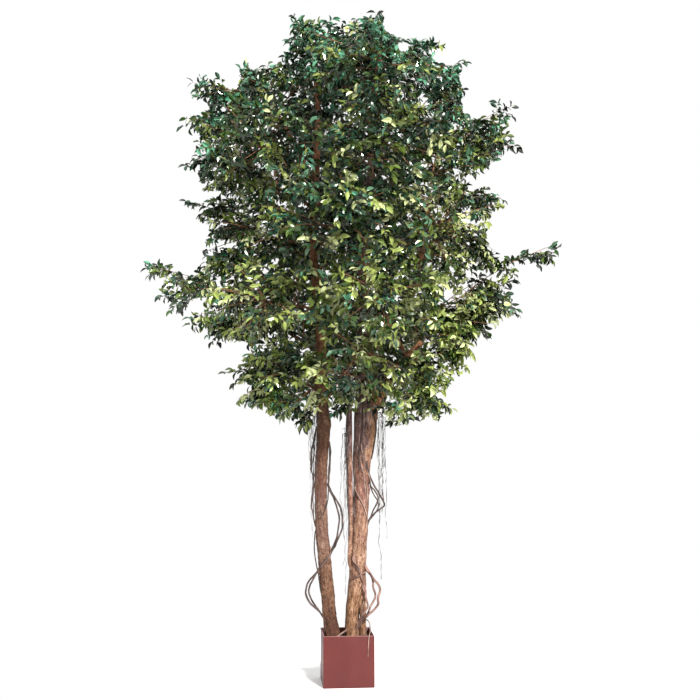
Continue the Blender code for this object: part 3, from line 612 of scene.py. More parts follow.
def on_bark(name, height, turn, off=0.0):
    """The point at this height and turn, that far off the bark."""
    axis, radius = axis_at(name, height)
    share = 1.0
    if name in OUTLINES:
        share, _ = OUTLINES[name](math.atan2(math.sin(turn), math.cos(turn)), height, 0.0)
    return axis + (radius * share + off) * Vector((math.cos(turn), math.sin(turn), 0))


print("trunk outlines ready")

# %% [markdown]
# ## Trunks and leaders with their bark
# The relief is in the mesh down to a millimetre or so: rings and lumps on the left trunk, and long strands on
# the right one. Anything finer is left to the bump in the material. A Displace modifier could do it, but a
# shape that is worked out point by point can follow the fork and the foot.

# %% Trunks and leaders
DETAIL = {"trunk_left": (44, 0.013), "trunk_right": (52, 0.013)}  # faces round, and their length
COARSE = (18, 0.016)
STANDING = ("trunk_left", "trunk_right", "side_stem")
BARKS = {"trunk_left": "left", "trunk_right": "right", "side_stem": "right", "slim_stem": "right"}
limb_points, limb_faces = [], []


def keep_clear_of(bm):
    """Notes a limb's mesh for the crown, whose leaves keep clear of it."""
    bm.verts.index_update()
    first = len(limb_points)
    limb_points.extend(v.co.copy() for v in bm.verts)
    limb_faces.extend([first + v.index for v in f.verts] for f in bm.faces)


for name, controls in LIMBS.items():
    sides, step = DETAIL.get(name, COARSE)
    bm = tube(smooth_path(controls, step), sides, OUTLINES.get(name, plain_shape), name in STANDING)
    keep_clear_of(bm)
    slot = "pale_bark" if name in ("trunk_right", "side_stem") else "grey_bark"
    piece(name + "_bark", [bm], [bark[BARKS.get(name, "bough")]], [name])

# %% [markdown]
# ## Lianas
# A liana is two or three thin stems twisted round each other. Each strand is laid out on its trunk: a row of
# points, each with a height, a turn about the trunk in degrees (0 is +X, -90 the front, 180 is -X) and how
# far it stands off the bark. The strands of one liana share their spans and differ in their slack, so they
# part where the liana bows out and meet again where it clings. Where the stems go their own ways, as at the
# right trunk's elbow and on its fork, each one has its own row of points.

# %% Strands of the lianas
Span = namedtuple("Span", "z_from z_to turn_from turn_to bow")
LIANAS = {  # the limb, the spans, and each strand's slack and radius
    "liana_left_loop": (
        "trunk_left",
        (
            Span(1.52, 1.25, -12, 4, 0.006),
            Span(1.25, 0.83, 4, -24, 0.086),
            Span(0.83, 0.71, -24, -168, 0.0),
            Span(0.71, 0.44, -168, -186, 0.088),
        ),
        ((1.05, 0.0062), (0.78, 0.0056)),
    ),
    "liana_left_upper": (
        "trunk_left",
        (Span(1.62, 1.28, 168, 176, 0.026), Span(1.28, 1.02, 176, 190, 0.018)),
        ((0.85, 0.0042), (0.40, 0.0032), (1.15, 0.0024)),
    ),
    "liana_right_elbow": ("trunk_right", (), ()),  # its stems are among the single ones
    "liana_right_cross": (
        "trunk_right",
        (Span(0.79, 0.62, -128, -36, 0.002), Span(0.62, 0.36, -36, -55, 0.055)),
        ((1.10, 0.0066), (0.66, 0.0056)),
    ),
    "liana_right_bow": (
        "trunk_right",
        (Span(0.72, 0.37, -30, -35, 0.125),),
        ((1.03, 0.0074), (0.74, 0.0066)),
    ),
}
TWIST = 52.0  # radians of twist for each metre of height
STEM_STEP = 0.012


def strand_points(limb, spans, slack, radius, phase):
    """Points for one strand, which dives into the bark at both ends."""
    first, last = spans[0], spans[-1]
    points = [(first.z_from + 0.025, first.turn_from, -0.6 * radius)]
    for span in spans:
        pieces = max(4, round(math.hypot(span.z_from - span.z_to, 2 * span.bow) / 0.030))
        pieces = max(pieces, round(abs(span.turn_to - span.turn_from) / 14))
        for k in range(pieces):
            t = (k + 0.5) / pieces
            height = span.z_from + (span.z_to - span.z_from) * t
            off = 0.6 * radius + span.bow * slack * math.sin(math.pi * t)
            off += 0.003 * max(0.0, math.sin(phase + TWIST * height))
            turn = span.turn_from + (span.turn_to - span.turn_from) * t
            points.append((height, turn + 6 * math.cos(phase + TWIST * height), off))
    points.append((last.z_to - 0.025, last.turn_to, -0.6 * radius))
    return [on_bark(limb, z, math.radians(turn), off + 0.5 * radius) for z, turn, off in points]


def thin_stem(points, radius, sides=8):
    """A tube of a nearly even radius with small knots."""

    def knots(turn, height, distance):
        return 1.0, 0.18 * radius * wood(turn, distance, 40, 0.6)

    return tube(smooth_path([(*p, radius) for p in points], STEM_STEP), sides, knots)


def laid(limb, points, radius):
    """A strand through points given by height, turn and how far it stands off the bark."""
    return thin_stem([on_bark(limb, z, math.radians(turn), off + radius) for z, turn, off in points], radius)


SINGLES = (  # the group, the limb, the radius, and the height, turn and distance off the bark at each point
    # the four stems of the elbow liana
    ("elbow", "trunk_right", 0.0056,
     (1.47, -96, -0.004), (1.38, -66, 0.0), (1.31, -30, 0.006), (1.255, -16, 0.03),
     (1.215, -14, 0.056), (1.17, -12, 0.082), (1.14, -10, 0.099), (1.125, -9, 0.1),
     (1.11, -9, 0.08), (1.085, -10, 0.048), (1.06, -10, 0.021), (1.03, -12, 0.001),
     (1.0, -16, -0.005)),
    ("elbow", "trunk_right", 0.0048,
     (1.42, -64, -0.004), (1.33, -42, 0.0), (1.26, -24, 0.006), (1.225, -18, 0.034),
     (1.18, -14, 0.058), (1.14, -13, 0.05), (1.1, -13, 0.03), (1.06, -12, 0.016),
     (1.01, -12, -0.003)),
    ("elbow", "trunk_right", 0.004,
     (1.36, -48, -0.003), (1.29, -30, 0.002), (1.235, -22, 0.014), (1.2, -18, 0.028),
     (1.165, -16, 0.052), (1.125, -14, 0.064), (1.09, -13, 0.05), (1.055, -12, 0.026),
     (1.02, -10, -0.003)),
    ("elbow", "trunk_right", 0.0036,
     (1.235, -12, 0.082), (1.21, -11, 0.086), (1.175, -10, 0.092), (1.14, -9, 0.098)),
    # a collar round the right trunk, and a stem across it
    ("rosy", "trunk_right", 0.005,
     (0.655, -138, -0.004), (0.665, -118, 0.0), (0.675, -90, 0.001), (0.69, -56, 0.001),
     (0.705, -28, 0.004), (0.715, -12, -0.004)),
    ("straw", "trunk_right", 0.0046,
     (1.31, -164, -0.004), (1.23, -142, 0.0), (1.175, -104, 0.001), (1.1, -64, 0.0),
     (1.04, -40, 0.0), (0.99, -30, -0.004)),
    # straw stems below the fork
    ("straw", "trunk_right", 0.0042,
     (1.56, -112, -0.004), (1.47, -98, 0.0), (1.385, -70, 0.001), (1.33, -44, 0.002),
     (1.27, -24, 0.006), (1.2, -20, -0.003)),
    ("straw", "trunk_right", 0.0036,
     (1.5, -84, -0.004), (1.42, -74, 0.0), (1.34, -84, 0.0), (1.24, -70, 0.0), (1.15, -62, -0.004)),
    ("straw", "trunk_right", 0.0034,
     (1.44, -110, -0.004), (1.36, -92, 0.0), (1.28, -66, 0.0), (1.2, -52, 0.001),
     (1.12, -56, -0.004)),
    # stems as thin as string down the fork
    ("straw", "trunk_right", 0.003,
     (1.98, -112, -0.004), (1.86, -118, 0.001), (1.72, -112, 0.002), (1.58, -120, 0.001),
     (1.46, -114, -0.003)),
    ("straw", "trunk_right", 0.0028,
     (1.96, -88, -0.004), (1.84, -90, 0.001), (1.7, -84, 0.002), (1.6, -90, 0.001),
     (1.52, -86, -0.003)),
    ("straw", "trunk_right", 0.003,
     (1.94, -66, -0.004), (1.82, -72, 0.001), (1.72, -64, 0.002), (1.62, -58, 0.001),
     (1.5, -62, -0.003)),
    # dark stems down the fork
    ("dark", "trunk_right", 0.0058,
     (1.78, -66, -0.005), (1.7, -46, 0.0), (1.64, -22, 0.001), (1.58, -8, 0.001), (1.5, -4, 0.0),
     (1.43, -6, -0.005)),
    ("dark", "trunk_right", 0.0066,
     (1.9, -140, -0.006), (1.75, -150, 0.0), (1.58, -148, 0.001), (1.42, -156, 0.001),
     (1.28, -150, 0.0), (1.16, -158, 0.0), (1.05, -150, -0.005)),
    ("dark", "trunk_right", 0.0056,
     (1.84, -104, -0.005), (1.72, -112, 0.0), (1.6, -104, 0.0), (1.48, -116, 0.0),
     (1.36, -112, -0.004)),
    # on the left trunk
    ("dark", "trunk_left", 0.004,
     (0.97, 176, -0.003), (0.92, 184, 0.006), (0.84, 188, 0.014), (0.76, 188, 0.01),
     (0.69, 192, 0.003), (0.62, 196, 0.0), (0.57, 200, -0.003)),
    ("dark", "trunk_left", 0.004,
     (1.25, -6, 0.006), (1.2, -14, 0.003), (1.165, -26, 0.002), (1.12, -52, 0.001),
     (1.07, -82, -0.003)),
    ("rosy", "trunk_left", 0.006,
     (0.865, -14, -0.004), (0.83, -30, 0.001), (0.79, -66, 0.003), (0.755, -110, 0.003),
     (0.72, -150, 0.002), (0.69, -176, -0.004)),
    # a twin wound round the slim stem
    ("dark", "slim_stem", 0.0052,
     (1.96, -60, -0.004), (1.82, -100, 0.0), (1.68, -150, 0.001), (1.52, -190, 0.001),
     (1.36, -200, 0.0), (1.2, -170, 0.0), (1.06, -130, 0.0), (0.94, -120, -0.004)),
)


def group_stems(wanted):
    """The single stems of one group."""
    return [laid(limb, points, radius) for group, limb, radius, *points in SINGLES if group == wanted]


ROSY = ("liana_right_cross", "liana_right_bow")
for name, (limb, spans, strands) in LIANAS.items():
    tubes = [
        thin_stem(strand_points(limb, spans, slack, radius, math.pi * k), radius)
        for k, (slack, radius) in enumerate(strands)
    ]
    finish = vines["rosy" if name in ROSY else "dark"]
    piece(name + "_strands", tubes or group_stems("elbow"), [finish], [name])
for group, finish in vines.items():
    piece(group + "_clinging_stems", group_stems(group), [finish], ())

# %% [markdown]
# ## Hanging roots
# Dry roots as thin as string hang from short spurs below the crown. Each one kinks a little every few
# centimetres. They are made like the lianas, with a seeded random walk in place of a drawn path.

# %% Hanging roots
ROOT_BUNCHES = {  # the limb, the height and turn of the spur, its length, and how long the roots hang
    "roots_left": ("trunk_left", 1.70, 206, 0.080, (0.62, 0.78, 0.50)),
    "roots_middle": ("slim_stem", 1.60, 190, 0.040, (1.02, 0.56)),
    "roots_right": ("trunk_right", 1.70, -6, 0.062, (1.05, 0.60, 0.78)),
}
STRINGS_EACH = 5  # strings for each one of the solid's
chance = random.Random(SEED)


def hanging_root(foot, top, drop):
    """A kinked string that leaves the bark at its foot, bends over at its top and hangs down."""
    points = [foot, foot.lerp(top, 0.6) + Vector((0, 0, 0.010)), top]
    sway = Vector((0, 0, 0))
    while points[-1].z > top.z - drop:
        kink = Vector((chance.gauss(0, 1), chance.gauss(0, 1), 0)) * 0.0034
        sway = sway * 0.88 + kink
        points.append(Vector((top.x + sway.x, top.y + sway.y, points[-1].z - chance.uniform(0.014, 0.034))))
    thick = chance.uniform(0.0016, 0.0027)
    path = []
    for k, point in enumerate(points):
        taper = 1 - 0.3 * k / (len(points) - 1)
        path.append((point, thick * chance.uniform(0.10, 1.25) * taper))
    return tube(path, 4)


for name, (limb, height, degrees, length, drops) in ROOT_BUNCHES.items():
    roots = []
    for k in range(STRINGS_EACH * len(drops)):
        main = k < len(drops)
        drop = drops[k % len(drops)] * (1.0 if main else chance.uniform(0.25, 0.95))
        turn = math.radians(degrees + (0 if main else chance.uniform(-35, 35)))
        reach = length * ((k + 0.7) / len(drops) if main else chance.uniform(0.04, 0.80))
        level = height + chance.uniform(-0.03, 0.03)
        foot, top = on_bark(limb, level, turn, -0.004), on_bark(limb, level + 0.012, turn, reach)
        roots.append(hanging_root(foot, top, drop))
    piece(name + "_strings", roots, [hair], [name])

FRONT_ROOT = (  # over the rim: x, y, z and radius
    (0.112, 0.004, 0.4, 0.0034), (0.14, -0.012, 0.385, 0.0034), (0.144, -0.06, 0.36, 0.0032),
    (0.138, -0.12, 0.338, 0.0032), (0.13, -0.15, 0.3275, 0.003), (0.1275, -0.1645, 0.325, 0.003),
    (0.1255, -0.168, 0.313, 0.0028), (0.1215, -0.167, 0.26, 0.0026), (0.119, -0.166, 0.19, 0.002),
)
string = tube(smooth_path(FRONT_ROOT, STEM_STEP), 8)
piece("roots_front_string", [string], [vines["straw"]], ["roots_front"])

# %% [markdown]
# ## The planter
# The planter is a plain square box in satin maroon lacquer, open at the top. A pale band along its rim is a
# painted highlight, where the top edge would catch the light. A cube makes it: its edges get a small bevel,
# its top is inset by the wall's thickness, and that face is pushed down to the floor inside.

# %% Planter
POT_SIDE, POT_HEIGHT, POT_WALL, POT_FLOOR = 0.325, 0.320, 0.009, 0.012
POT_BEVEL = 0.0018
make = Finish("maroon_lacquer", Specular_IOR_Level=0.25)
place = make.node("TexCoord", out=3)
cloudy = make.noise(place, 9.0, 4.0, (1, 1, 0.5))
brushed = make.noise(place, 1.0, 3.0, (60, 60, 700))
lacquer = make.ramp(cloudy, (0.30, (0.056, 0.0079, 0.0067)), (0.70, (0.072, 0.0110, 0.0088)))
# painted highlight along the rim: the top two millimetres blend halfway to a pale rose, as if the edge caught
# the light
rim = make.ramp(make.node("SeparateXYZ", {}, {0: place}, 2), (0.3165, 0.0), (0.3185, 1.0))
painted_rim_highlight = make.mix(rim * 0.5, lacquer, (0.35, 0.20, 0.18))
make.wear({"Base_Color": painted_rim_highlight, "Roughness": 0.38 + brushed * 0.14})
make.relief(brushed * 0.5 + cloudy * 0.5, 0.0006)
lacquer = make.material


def top_face(bm):
    """The largest of the highest faces."""
    return max(bm.faces, key=lambda f: (round(f.calc_center_median().z, 5), f.calc_area()))


bm = bmesh.new()
bmesh.ops.create_cube(bm, size=1.0)
bmesh.ops.scale(bm, vec=(POT_SIDE, POT_SIDE, POT_HEIGHT), verts=bm.verts[:])
bmesh.ops.translate(bm, vec=(0, 0, POT_HEIGHT / 2), verts=bm.verts[:])
bmesh.ops.bevel(bm, geom=bm.edges[:], offset=POT_BEVEL, segments=3, profile=0.5, affect="EDGES", material=-1)
top = top_face(bm)
bmesh.ops.inset_region(bm, faces=[top], thickness=POT_WALL - 2 * POT_BEVEL)
bmesh.ops.inset_region(bm, faces=[top], thickness=POT_BEVEL, depth=-POT_BEVEL)
made = bmesh.ops.extrude_face_region(bm, geom=[top])["geom"]
bmesh.ops.delete(bm, geom=[top], context="FACES_ONLY")
floor_corners = [g for g in made if isinstance(g, bmesh.types.BMVert)]
bmesh.ops.translate(bm, vec=(0, 0, POT_FLOOR - POT_HEIGHT), verts=floor_corners)
bmesh.ops.recalc_face_normals(bm, faces=bm.faces[:])
piece("planter_box", [bm], [lacquer], ["pot"])

# %% [markdown]
# ## Copies
# The bark chips and the leaves are small shapes that are repeated hundreds or thousands of times. Blender's
# instances could do it, but an export keeps one joined mesh and drops instances. So a small shape is made
# once with bmesh, and arrays of places and turned frames lay out its copies in one mesh.


# %% Many copies of a small shape in one mesh
def shape_arrays(bm):
    """The points and triangles of a small mesh, which is freed."""
    bmesh.ops.triangulate(bm, faces=bm.faces[:])
    bm.verts.index_update()
    points = np.array([v.co for v in bm.verts])
    corners = np.array([[v.index for v in f.verts] for f in bm.faces])
    bm.free()
    return points, corners


def joined_mesh(name, points, corners, tones, smooth=True):
    """A mesh from arrays of points (n, 3), triangles (m, 3) and each triangle's material."""
    mesh = bpy.data.meshes.new(name)
    mesh.vertices.add(len(points))
    mesh.vertices.foreach_set("co", points.astype(np.float32).ravel())
    mesh.loops.add(3 * len(corners))
    mesh.loops.foreach_set("vertex_index", corners.astype(np.int32).ravel())
    mesh.polygons.add(len(corners))
    mesh.polygons.foreach_set("loop_start", np.arange(0, 3 * len(corners), 3, dtype=np.int32))
    mesh.polygons.foreach_set("material_index", np.asarray(tones, dtype=np.int32))
    mesh.update(calc_edges=True)
    mesh.validate()
    if smooth:
        mesh.shade_smooth()
    return mesh


def copies(shape, places, frames, tones):
    """Arrays for copies of a shape: frames are (n, 3, 3), with X, Y and Z of the shape as columns."""
    points, corners = shape
    placed = np.einsum("nij,vj->nvi", frames, points) + places[:, None, :]
    indexes = corners[None] + np.arange(len(places))[:, None, None] * len(points)
    return placed.reshape(-1, 3), indexes.reshape(-1, 3), np.repeat(tones, len(corners))


print("array helpers ready")

# %% [markdown]
# ## The filling
# The cast weight is hidden under dark bark chips. A grid with lumps makes the bed, and a few hundred flat
# chips lie on it, each a bevelled cube, turned and tipped by chance. One thin root lies across the gap
# between the trunks.


# %% Bed of bark chips
def chip_finish(name, dark, light):
    """Rough bark in two colours."""
    make = Finish(name, Roughness=0.85)
    level = make.noise(make.node("TexCoord", out=3), 70.0, 4.0, (1, 1, 1))
    make.wear({"Base_Color": make.ramp(level, (0.35, dark), (0.65, light))})
    make.relief(level, 0.002)
    return make.material


humus = chip_finish("dark_bark_bed", (0.010, 0.006, 0.005), (0.040, 0.024, 0.018))
chip_bark = [
    chip_finish("bark_chip_dark", (0.020, 0.011, 0.008), (0.060, 0.034, 0.024)),
    chip_finish("bark_chip_red", (0.045, 0.022, 0.015), (0.115, 0.065, 0.045)),
]
bed_side = POT_SIDE - 2 * POT_WALL - 0.001
BED_CELLS = 60
bm = bmesh.new()
bmesh.ops.create_grid(bm, x_segments=BED_CELLS, y_segments=BED_CELLS, size=bed_side / 2)
for vert in bm.verts:
    vert.co.z = FILL_TOP - 0.012 + 0.006 * noise.fractal(vert.co * 28, 1.0, 2.0, 3)
edge = [e for e in bm.edges if e.is_boundary]
skirt = bmesh.ops.extrude_edge_only(bm, edges=edge)["geom"]
for vert in (g for g in skirt if isinstance(g, bmesh.types.BMVert)):
    vert.co.z = FILL_TOP - 0.060
bmesh.ops.holes_fill(bm, edges=[e for e in bm.edges if e.is_boundary], sides=0)
bmesh.ops.recalc_face_normals(bm, faces=bm.faces[:])
piece("bark_bed", [bm], [humus], ["pot_fill"])

bm = bmesh.new()
bmesh.ops.create_cube(bm, size=1.0)
bmesh.ops.bevel(bm, geom=bm.edges[:], offset=0.12, segments=1, profile=0.5, affect="EDGES", material=-1)
chip = shape_arrays(bm)
CHIPS = 420
places, frames, tones = [], [], []
feet = [(Vector(LIMBS[name][0][:2]), LIMBS[name][0][3] + 0.006) for name in STANDING]
while len(places) < CHIPS:
    spot = Vector((chance.uniform(-1, 1), chance.uniform(-1, 1))) * (bed_side / 2 - 0.016)
    if all((spot - foot).length > reach for foot, reach in feet):
        turn = Matrix.Rotation(chance.uniform(0, math.tau), 3, "Z")
        tip = Matrix.Rotation(chance.gauss(0, 0.35), 3, "X") @ Matrix.Rotation(chance.gauss(0, 0.35), 3, "Y")
        long = chance.uniform(0.014, 0.028)
        size = Matrix.Diagonal((long, long * chance.uniform(0.4, 0.8), chance.uniform(0.003, 0.006)))
        places.append((spot.x, spot.y, FILL_TOP - 0.009 + chance.uniform(0, 0.008)))
        frames.append(np.array(turn @ tip @ size))
        tones.append(chance.choice((0, 0, 0, 1)))
mesh = joined_mesh("bark_chips", *copies(chip, np.array(places), np.array(frames), tones), smooth=False)
dress("bark_chips", mesh, chip_bark, ())
ROOT_BETWEEN = (
    (-0.090, -0.070, 0.280), (-0.066, -0.058, 0.298), (-0.030, -0.040, 0.322), (0.006, -0.010, 0.334),
)
piece("root_between_trunks", [thin_stem(ROOT_BETWEEN, 0.0052, 10)], [vines["straw"]], ())

# %% [markdown]
# ## The crown: spaces
# The crown is tiers of leafy masses, each a ring round the middle. A mass's space is a flattened ball, less
# what lies nearer to another mass. These are the same sizes as in the solids, so every mass of leaves grows
# where its solid is. The sprigs are tips that stand out of the crown's outline. Each springs from the mass
# that is nearest to a point below it, and a drop below zero finds the mass above it.

# %% Masses, roof and sprigs
Tier = namedtuple("Tier", "name height ring count first shift spread rise lift")
TIERS = (
    Tier("skirt", 1.97, 0.38, 4, 4, 0.01, 0.40, 0.34, 0.14),
    Tier("low", 2.42, 0.61, 5, 0, -0.03, 0.46, 0.34, 0.02),
    Tier("middle", 2.92, 0.60, 5, 36, 0.07, 0.48, 0.36, 0.0),
    Tier("high", 3.42, 0.64, 5, 0, -0.04, 0.49, 0.36, 0.0),
    Tier("upper", 3.88, 0.58, 4, 12, 0.02, 0.52, 0.35, 0.06),
    Tier("top", 4.12, 0.27, 3, 84, 0.0, 0.42, 0.34, 0.0),
)
CROWN_TOP = 4.53
CROWN_FALL = (0.45, 0.52)  # how fast the roof falls off to the sides, and to the front and back
CROWN_DEPTH = 0.92  # from front to back, as a share of the width
SPRIGS = (  # the tip's x, y and z, the length of its shoots, and the drop
    (-1.39, 0.0, 2.76, 0.22, 0.42), (-1.235, -0.1, 2.54, 0.22, 0.05), (-1.06, 0.1, 2.35, 0.18, 0.0),
    (-1.06, -0.2, 3.36, 0.18, 0.0), (-1.1, 0.02, 3.67, 0.18, 0.0), (-1.03, -0.1, 3.93, 0.18, 0.0),
    (-0.8, 0.1, 4.11, 0.16, 0.0), (-0.33, -0.03, 4.48, 0.18, 0.0), (0.17, -0.06, 4.47, 0.25, 0.0),
    (0.65, 0.05, 4.36, 0.18, -0.3), (1.11, -0.08, 3.91, 0.2, 0.36), (1.18, -0.02, 3.66, 0.18, 0.3),
    (1.43, -0.2, 2.9, 0.14, 0.4), (1.14, 0.05, 2.57, 0.2, 0.0), (0.85, -0.05, 2.14, 0.22, 0.0),
    (0.62, -0.12, 1.73, 0.22, 0.0), (-0.71, 0.05, 1.82, 0.2, 0.0), (-0.55, -0.1, 1.69, 0.22, 0.0),
    (0.07, 1.1, 3.3, 0.25, 0.0), (-0.05, -1.1, 3.02, 0.25, 0.0),
    # from here on the sprigs are in the leaves only, and have no solid
    (1.11, -0.05, 2.66, 0.22, 0.0), (1.14, 0.1, 3.76, 0.2, 0.3), (-1.04, -0.05, 3.17, 0.22, 0.0),
    (-0.88, 0.1, 2.26, 0.18, 0.0), (-0.79, 0.0, 2.02, 0.2, 0.0), (1.06, -0.05, 3.15, 0.18, 0.0),
    (0.8, 0.02, 4.2, 0.14, 0.0), (-0.92, 0.05, 3.96, 0.16, 0.0), (-0.98, 0.05, 2.7, 0.18, 0.0),
    (0.76, 0.0, 2.04, 0.14, 0.0), (1.03, -0.05, 2.75, 0.16, 0.0), (1.15, 0.0, 2.47, 0.18, 0.0),
    (0.96, 0.0, 2.3, 0.14, 0.0), (0.14, -0.36, 4.28, 0.14, 0.0), (0.6, 0.1, 2.24, 0.16, 0.0),
    (0.66, -0.1, 2.32, 0.14, 0.0), (-0.96, 0.05, 2.6, 0.16, 0.0),
)


class Mass:
    """A mass of foliage: a flattened ball, less what lies nearer another mass."""

    def __init__(self, tier, number, centre, spread, rise):
        self.tier = tier
        self.name = f"{tier}_{number}"
        self.centre = centre
        self.spread = spread
        self.reach = Vector((spread, spread * CROWN_DEPTH, rise))

    def share(self, point):
        """0 at the middle and 1 at the edge of the ball."""
        away = point - self.centre
        return math.sqrt(sum((away[k] / self.reach[k]) ** 2 for k in range(3)))

    def margin(self, point):
        """How far the point is inside the flat borders to the other masses."""
        own = (point - self.centre).length_squared - self.spread**2
        nearest = math.inf
        for other in masses:
            if other is not self:
                theirs = (point - other.centre).length_squared - other.spread**2
                nearest = min(nearest, (theirs - own) / (2 * (self.centre - other.centre).length))
        return nearest


def roof(point):
    """The highest that the crown reaches over or under this point, with a dip on its left shoulder."""
    dip = 0.23 * fade(-point.x, 0.28, 0.46) * fade(-point.x, 1.10, 0.85)
    return CROWN_TOP - CROWN_FALL[0] * point.x**2 - CROWN_FALL[1] * abs(point.y) - dip


masses = []
for tier in TIERS:
    for k in range(tier.count):
        turn = math.radians(tier.first + 360 * k / tier.count)
        deep = math.sin(turn)
        right = tier.shift + tier.ring * math.cos(turn)
        centre = Vector((right, tier.ring * CROWN_DEPTH * deep, tier.height))
        centre.z += tier.lift * deep**2
        masses.append(Mass(tier.name, k + 1, centre, tier.spread, tier.rise))
print("masses:", len(masses))

# %% [markdown]
# ## The crown: boughs
# A mass that a trunk or leader runs through grows from that limb. Any other mass gets a bough, which leaves
# the nearest limb below it, rises, and ends where it enters the mass.

# %% Seats and boughs
DIRECT_MARGIN, DIRECT_SHARE, DIRECT_BELOW = 0.05, 0.96, 0.10
BOUGH_ENTRY, BOUGH_FOOT, BOUGH_RISE, LIMB_TIP = 0.66, 0.34, 0.35, 0.06
BOUGH_RADIUS = (0.0155, 0.0085)
CARRIERS = ("trunk_left", "trunk_right", "leader_left", "leader_low", "leader_high")
Seat = namedtuple("Seat", "start way radius")


def bow_path(start, end, arch, pieces, way=None):
    """Points from start to end on a curve that leaves along way, or that arches upwards."""
    span = (end - start).length
    middle = start + way * span * 0.5 if way else start.lerp(end, 0.5) + Vector((0, 0, arch * span))
    ends = [start.lerp(middle, k / pieces) for k in range(pieces + 1)]
    return [a.lerp(middle.lerp(end, k / pieces), k / pieces) for k, a in enumerate(ends)]


def tapered(points, radii):
    """Stations whose radius runs evenly from the first radius to the second."""
    last = len(points) - 1
    return [(p, radii[0] + (radii[1] - radii[0]) * k / last) for k, p in enumerate(points)]


def within(mass, point):
    """Whether the point is well inside the mass's own space."""
    return mass.margin(point) > DIRECT_MARGIN and mass.share(point) < DIRECT_SHARE


def limb_inside(mass):
    """The seat of a stem that leaves a limb running through the mass's own space, or None."""
    best = None
    for limb in (stations[name] for name in CARRIERS):
        tip, radius = limb[-1]
        if within(mass, tip):
            return Seat(tip, (tip - limb[-2][0]).normalized(), 0.9 * radius)
        for (low, radius), (high, _) in zip(limb, limb[1:]):
            for k in range(4):
                point = low.lerp(high, k / 4)
                if within(mass, point):
                    off = (mass.centre - point - Vector((0, 0, DIRECT_BELOW))).length
                    if best is None or off < best[0]:
                        best = (off, Seat(point, (mass.centre - point).normalized(), 0.6 * radius))
    return best and best[1]


def bough_to(mass):
    """The stations of the bough that carries this mass, from the nearest limb below it."""
    best = None
    for name in CARRIERS:
        limb = stations[name]
        height = min(mass.centre.z - BOUGH_FOOT, limb[-1][0].z - LIMB_TIP)
        point, radius = axis_at(name, height)
        distance = (mass.centre - Vector((0, 0, 0.5 * BOUGH_FOOT)) - point).length
        if height > limb[2][0].z and (best is None or distance < best[0]):
            best = (distance, point, radius)
    _, foot, carrier_radius = best
    way = (mass.centre - foot).normalized()
    entry = mass.centre - way * mass.spread * BOUGH_ENTRY
    while mass.margin(entry) < DIRECT_MARGIN:
        entry = entry.lerp(mass.centre, 0.1)
    rising = (way + Vector((0, 0, BOUGH_RISE))).normalized()
    return foot, entry, rising, (min(BOUGH_RADIUS[0], 0.7 * carrier_radius), BOUGH_RADIUS[1])


seats, boughs = [], []
for mass in masses:
    seat = limb_inside(mass)
    if not seat:
        foot, entry, rising, radii = bough_to(mass)
        boughs.append((mass, tapered(bow_path(foot, entry, 0, 24, rising), radii)))
        coarse = bow_path(foot, entry, 0, 3, rising)
        seat = Seat(coarse[-1], (coarse[-1] - coarse[-2]).normalized(), radii[1])
    seats.append(seat)
tubes = [tube(path, 12, plain_shape) for _, path in boughs]
for bm in tubes:
    keep_clear_of(bm)
limb_tree = BVHTree.FromPolygons(limb_points, limb_faces)
piece("boughs_bark", tubes, [bark["bough"]], [f"bough_{mass.name}" for mass, _ in boughs])

# %% [markdown]
# ## The crown: how things grow
# Every mass has one stem. Twigs leave it in even directions, the same first ones as in the solids, then more
# between them. A twig carries shoots on its left and right, a shoot carries side shoots, and both carry
# leaves by turns on each side. A particle system could scatter leaves, but a seeded rule puts each one on its
# own stem. First come the rule's sizes, and three helpers for directions.

# %% Sizes of the growth
TWIGS = 6
FINER_TWIGS = {"skirt": 16, "low": 16, "middle": 17, "high": 18, "upper": 15, "top": 12}
TWIG_REACH, FINER_REACH = (0.72, 0.6, 0.45, 0.3), (0.84, 0.74, 0.62, 0.48)  # shares of the way to the edge
TWIG_MARGIN, FINER_MARGIN = 0.10, 0.02
TWIG_ARCH, SPRIG_ARCH = 0.10, 0.14
TWIG_BACK, STEM_PAST, STEM_MARKS = 0.15, 0.3, 20
GOLDEN_TURN = 0.618034
TWIG_SHOOTS, FINER_SHOOTS = (0.40, 0.60, 0.80, 1.00), (0.50, 0.75, 1.00)  # places along a twig
SPRIG_SHOOTS = (0.40, 0.48, 0.56, 0.63, 0.69, 0.75, 0.80, 0.85, 0.90, 0.95, 1.00)
STEM_SHOOTS = ((0.40, -0.9), (0.55, 0.9), (0.70, -0.3), (0.85, 0.4))  # places along a stem, and turns
TWIG_LENGTH, FINER_LENGTH, TIP_LENGTH = 0.25, 0.20, 0.22  # of the shoots on twigs and at a stem's tip
LEAF_LENGTH = 0.057
LEAF_GAP = 0.022  # along a shoot, from leaf to leaf
LEAF_KINDS = 3  # shapes of leaf
UP = Vector((0, 0, 1))
Leaf = namedtuple("Leaf", "root way face size kind tone")
stems, twigs, shoots = [], [], []  # paths of 4, 5 and 4 points with their radii
leaves = {tier.name: [] for tier in TIERS}


def along(points, share):
    """The point at this share of the path, and the way it runs there."""
    lengths = [(b - a).length for a, b in zip(points, points[1:])]
    left = share * sum(lengths)
    for (a, b), length in zip(zip(points, points[1:]), lengths):
        if left <= length:
            return a.lerp(b, left / length), (b - a).normalized()
        left -= length
    return points[-1].copy(), (points[-1] - points[-2]).normalized()


def beside(way, roll):
    """A direction across the way: level at a roll of 0, upright at a quarter turn."""
    level = way.cross(UP)
    level = level.normalized() if level.length > 0.1 else Vector((1, 0, 0))
    return level * math.cos(roll) + level.cross(way) * math.sin(roll)


def outward(point):
    """Level, away from the middle of the crown."""
    return Vector((point.x, point.y, 0)).normalized()


print("finer twigs:", sum(FINER_TWIGS[tier.name] * tier.count for tier in TIERS))

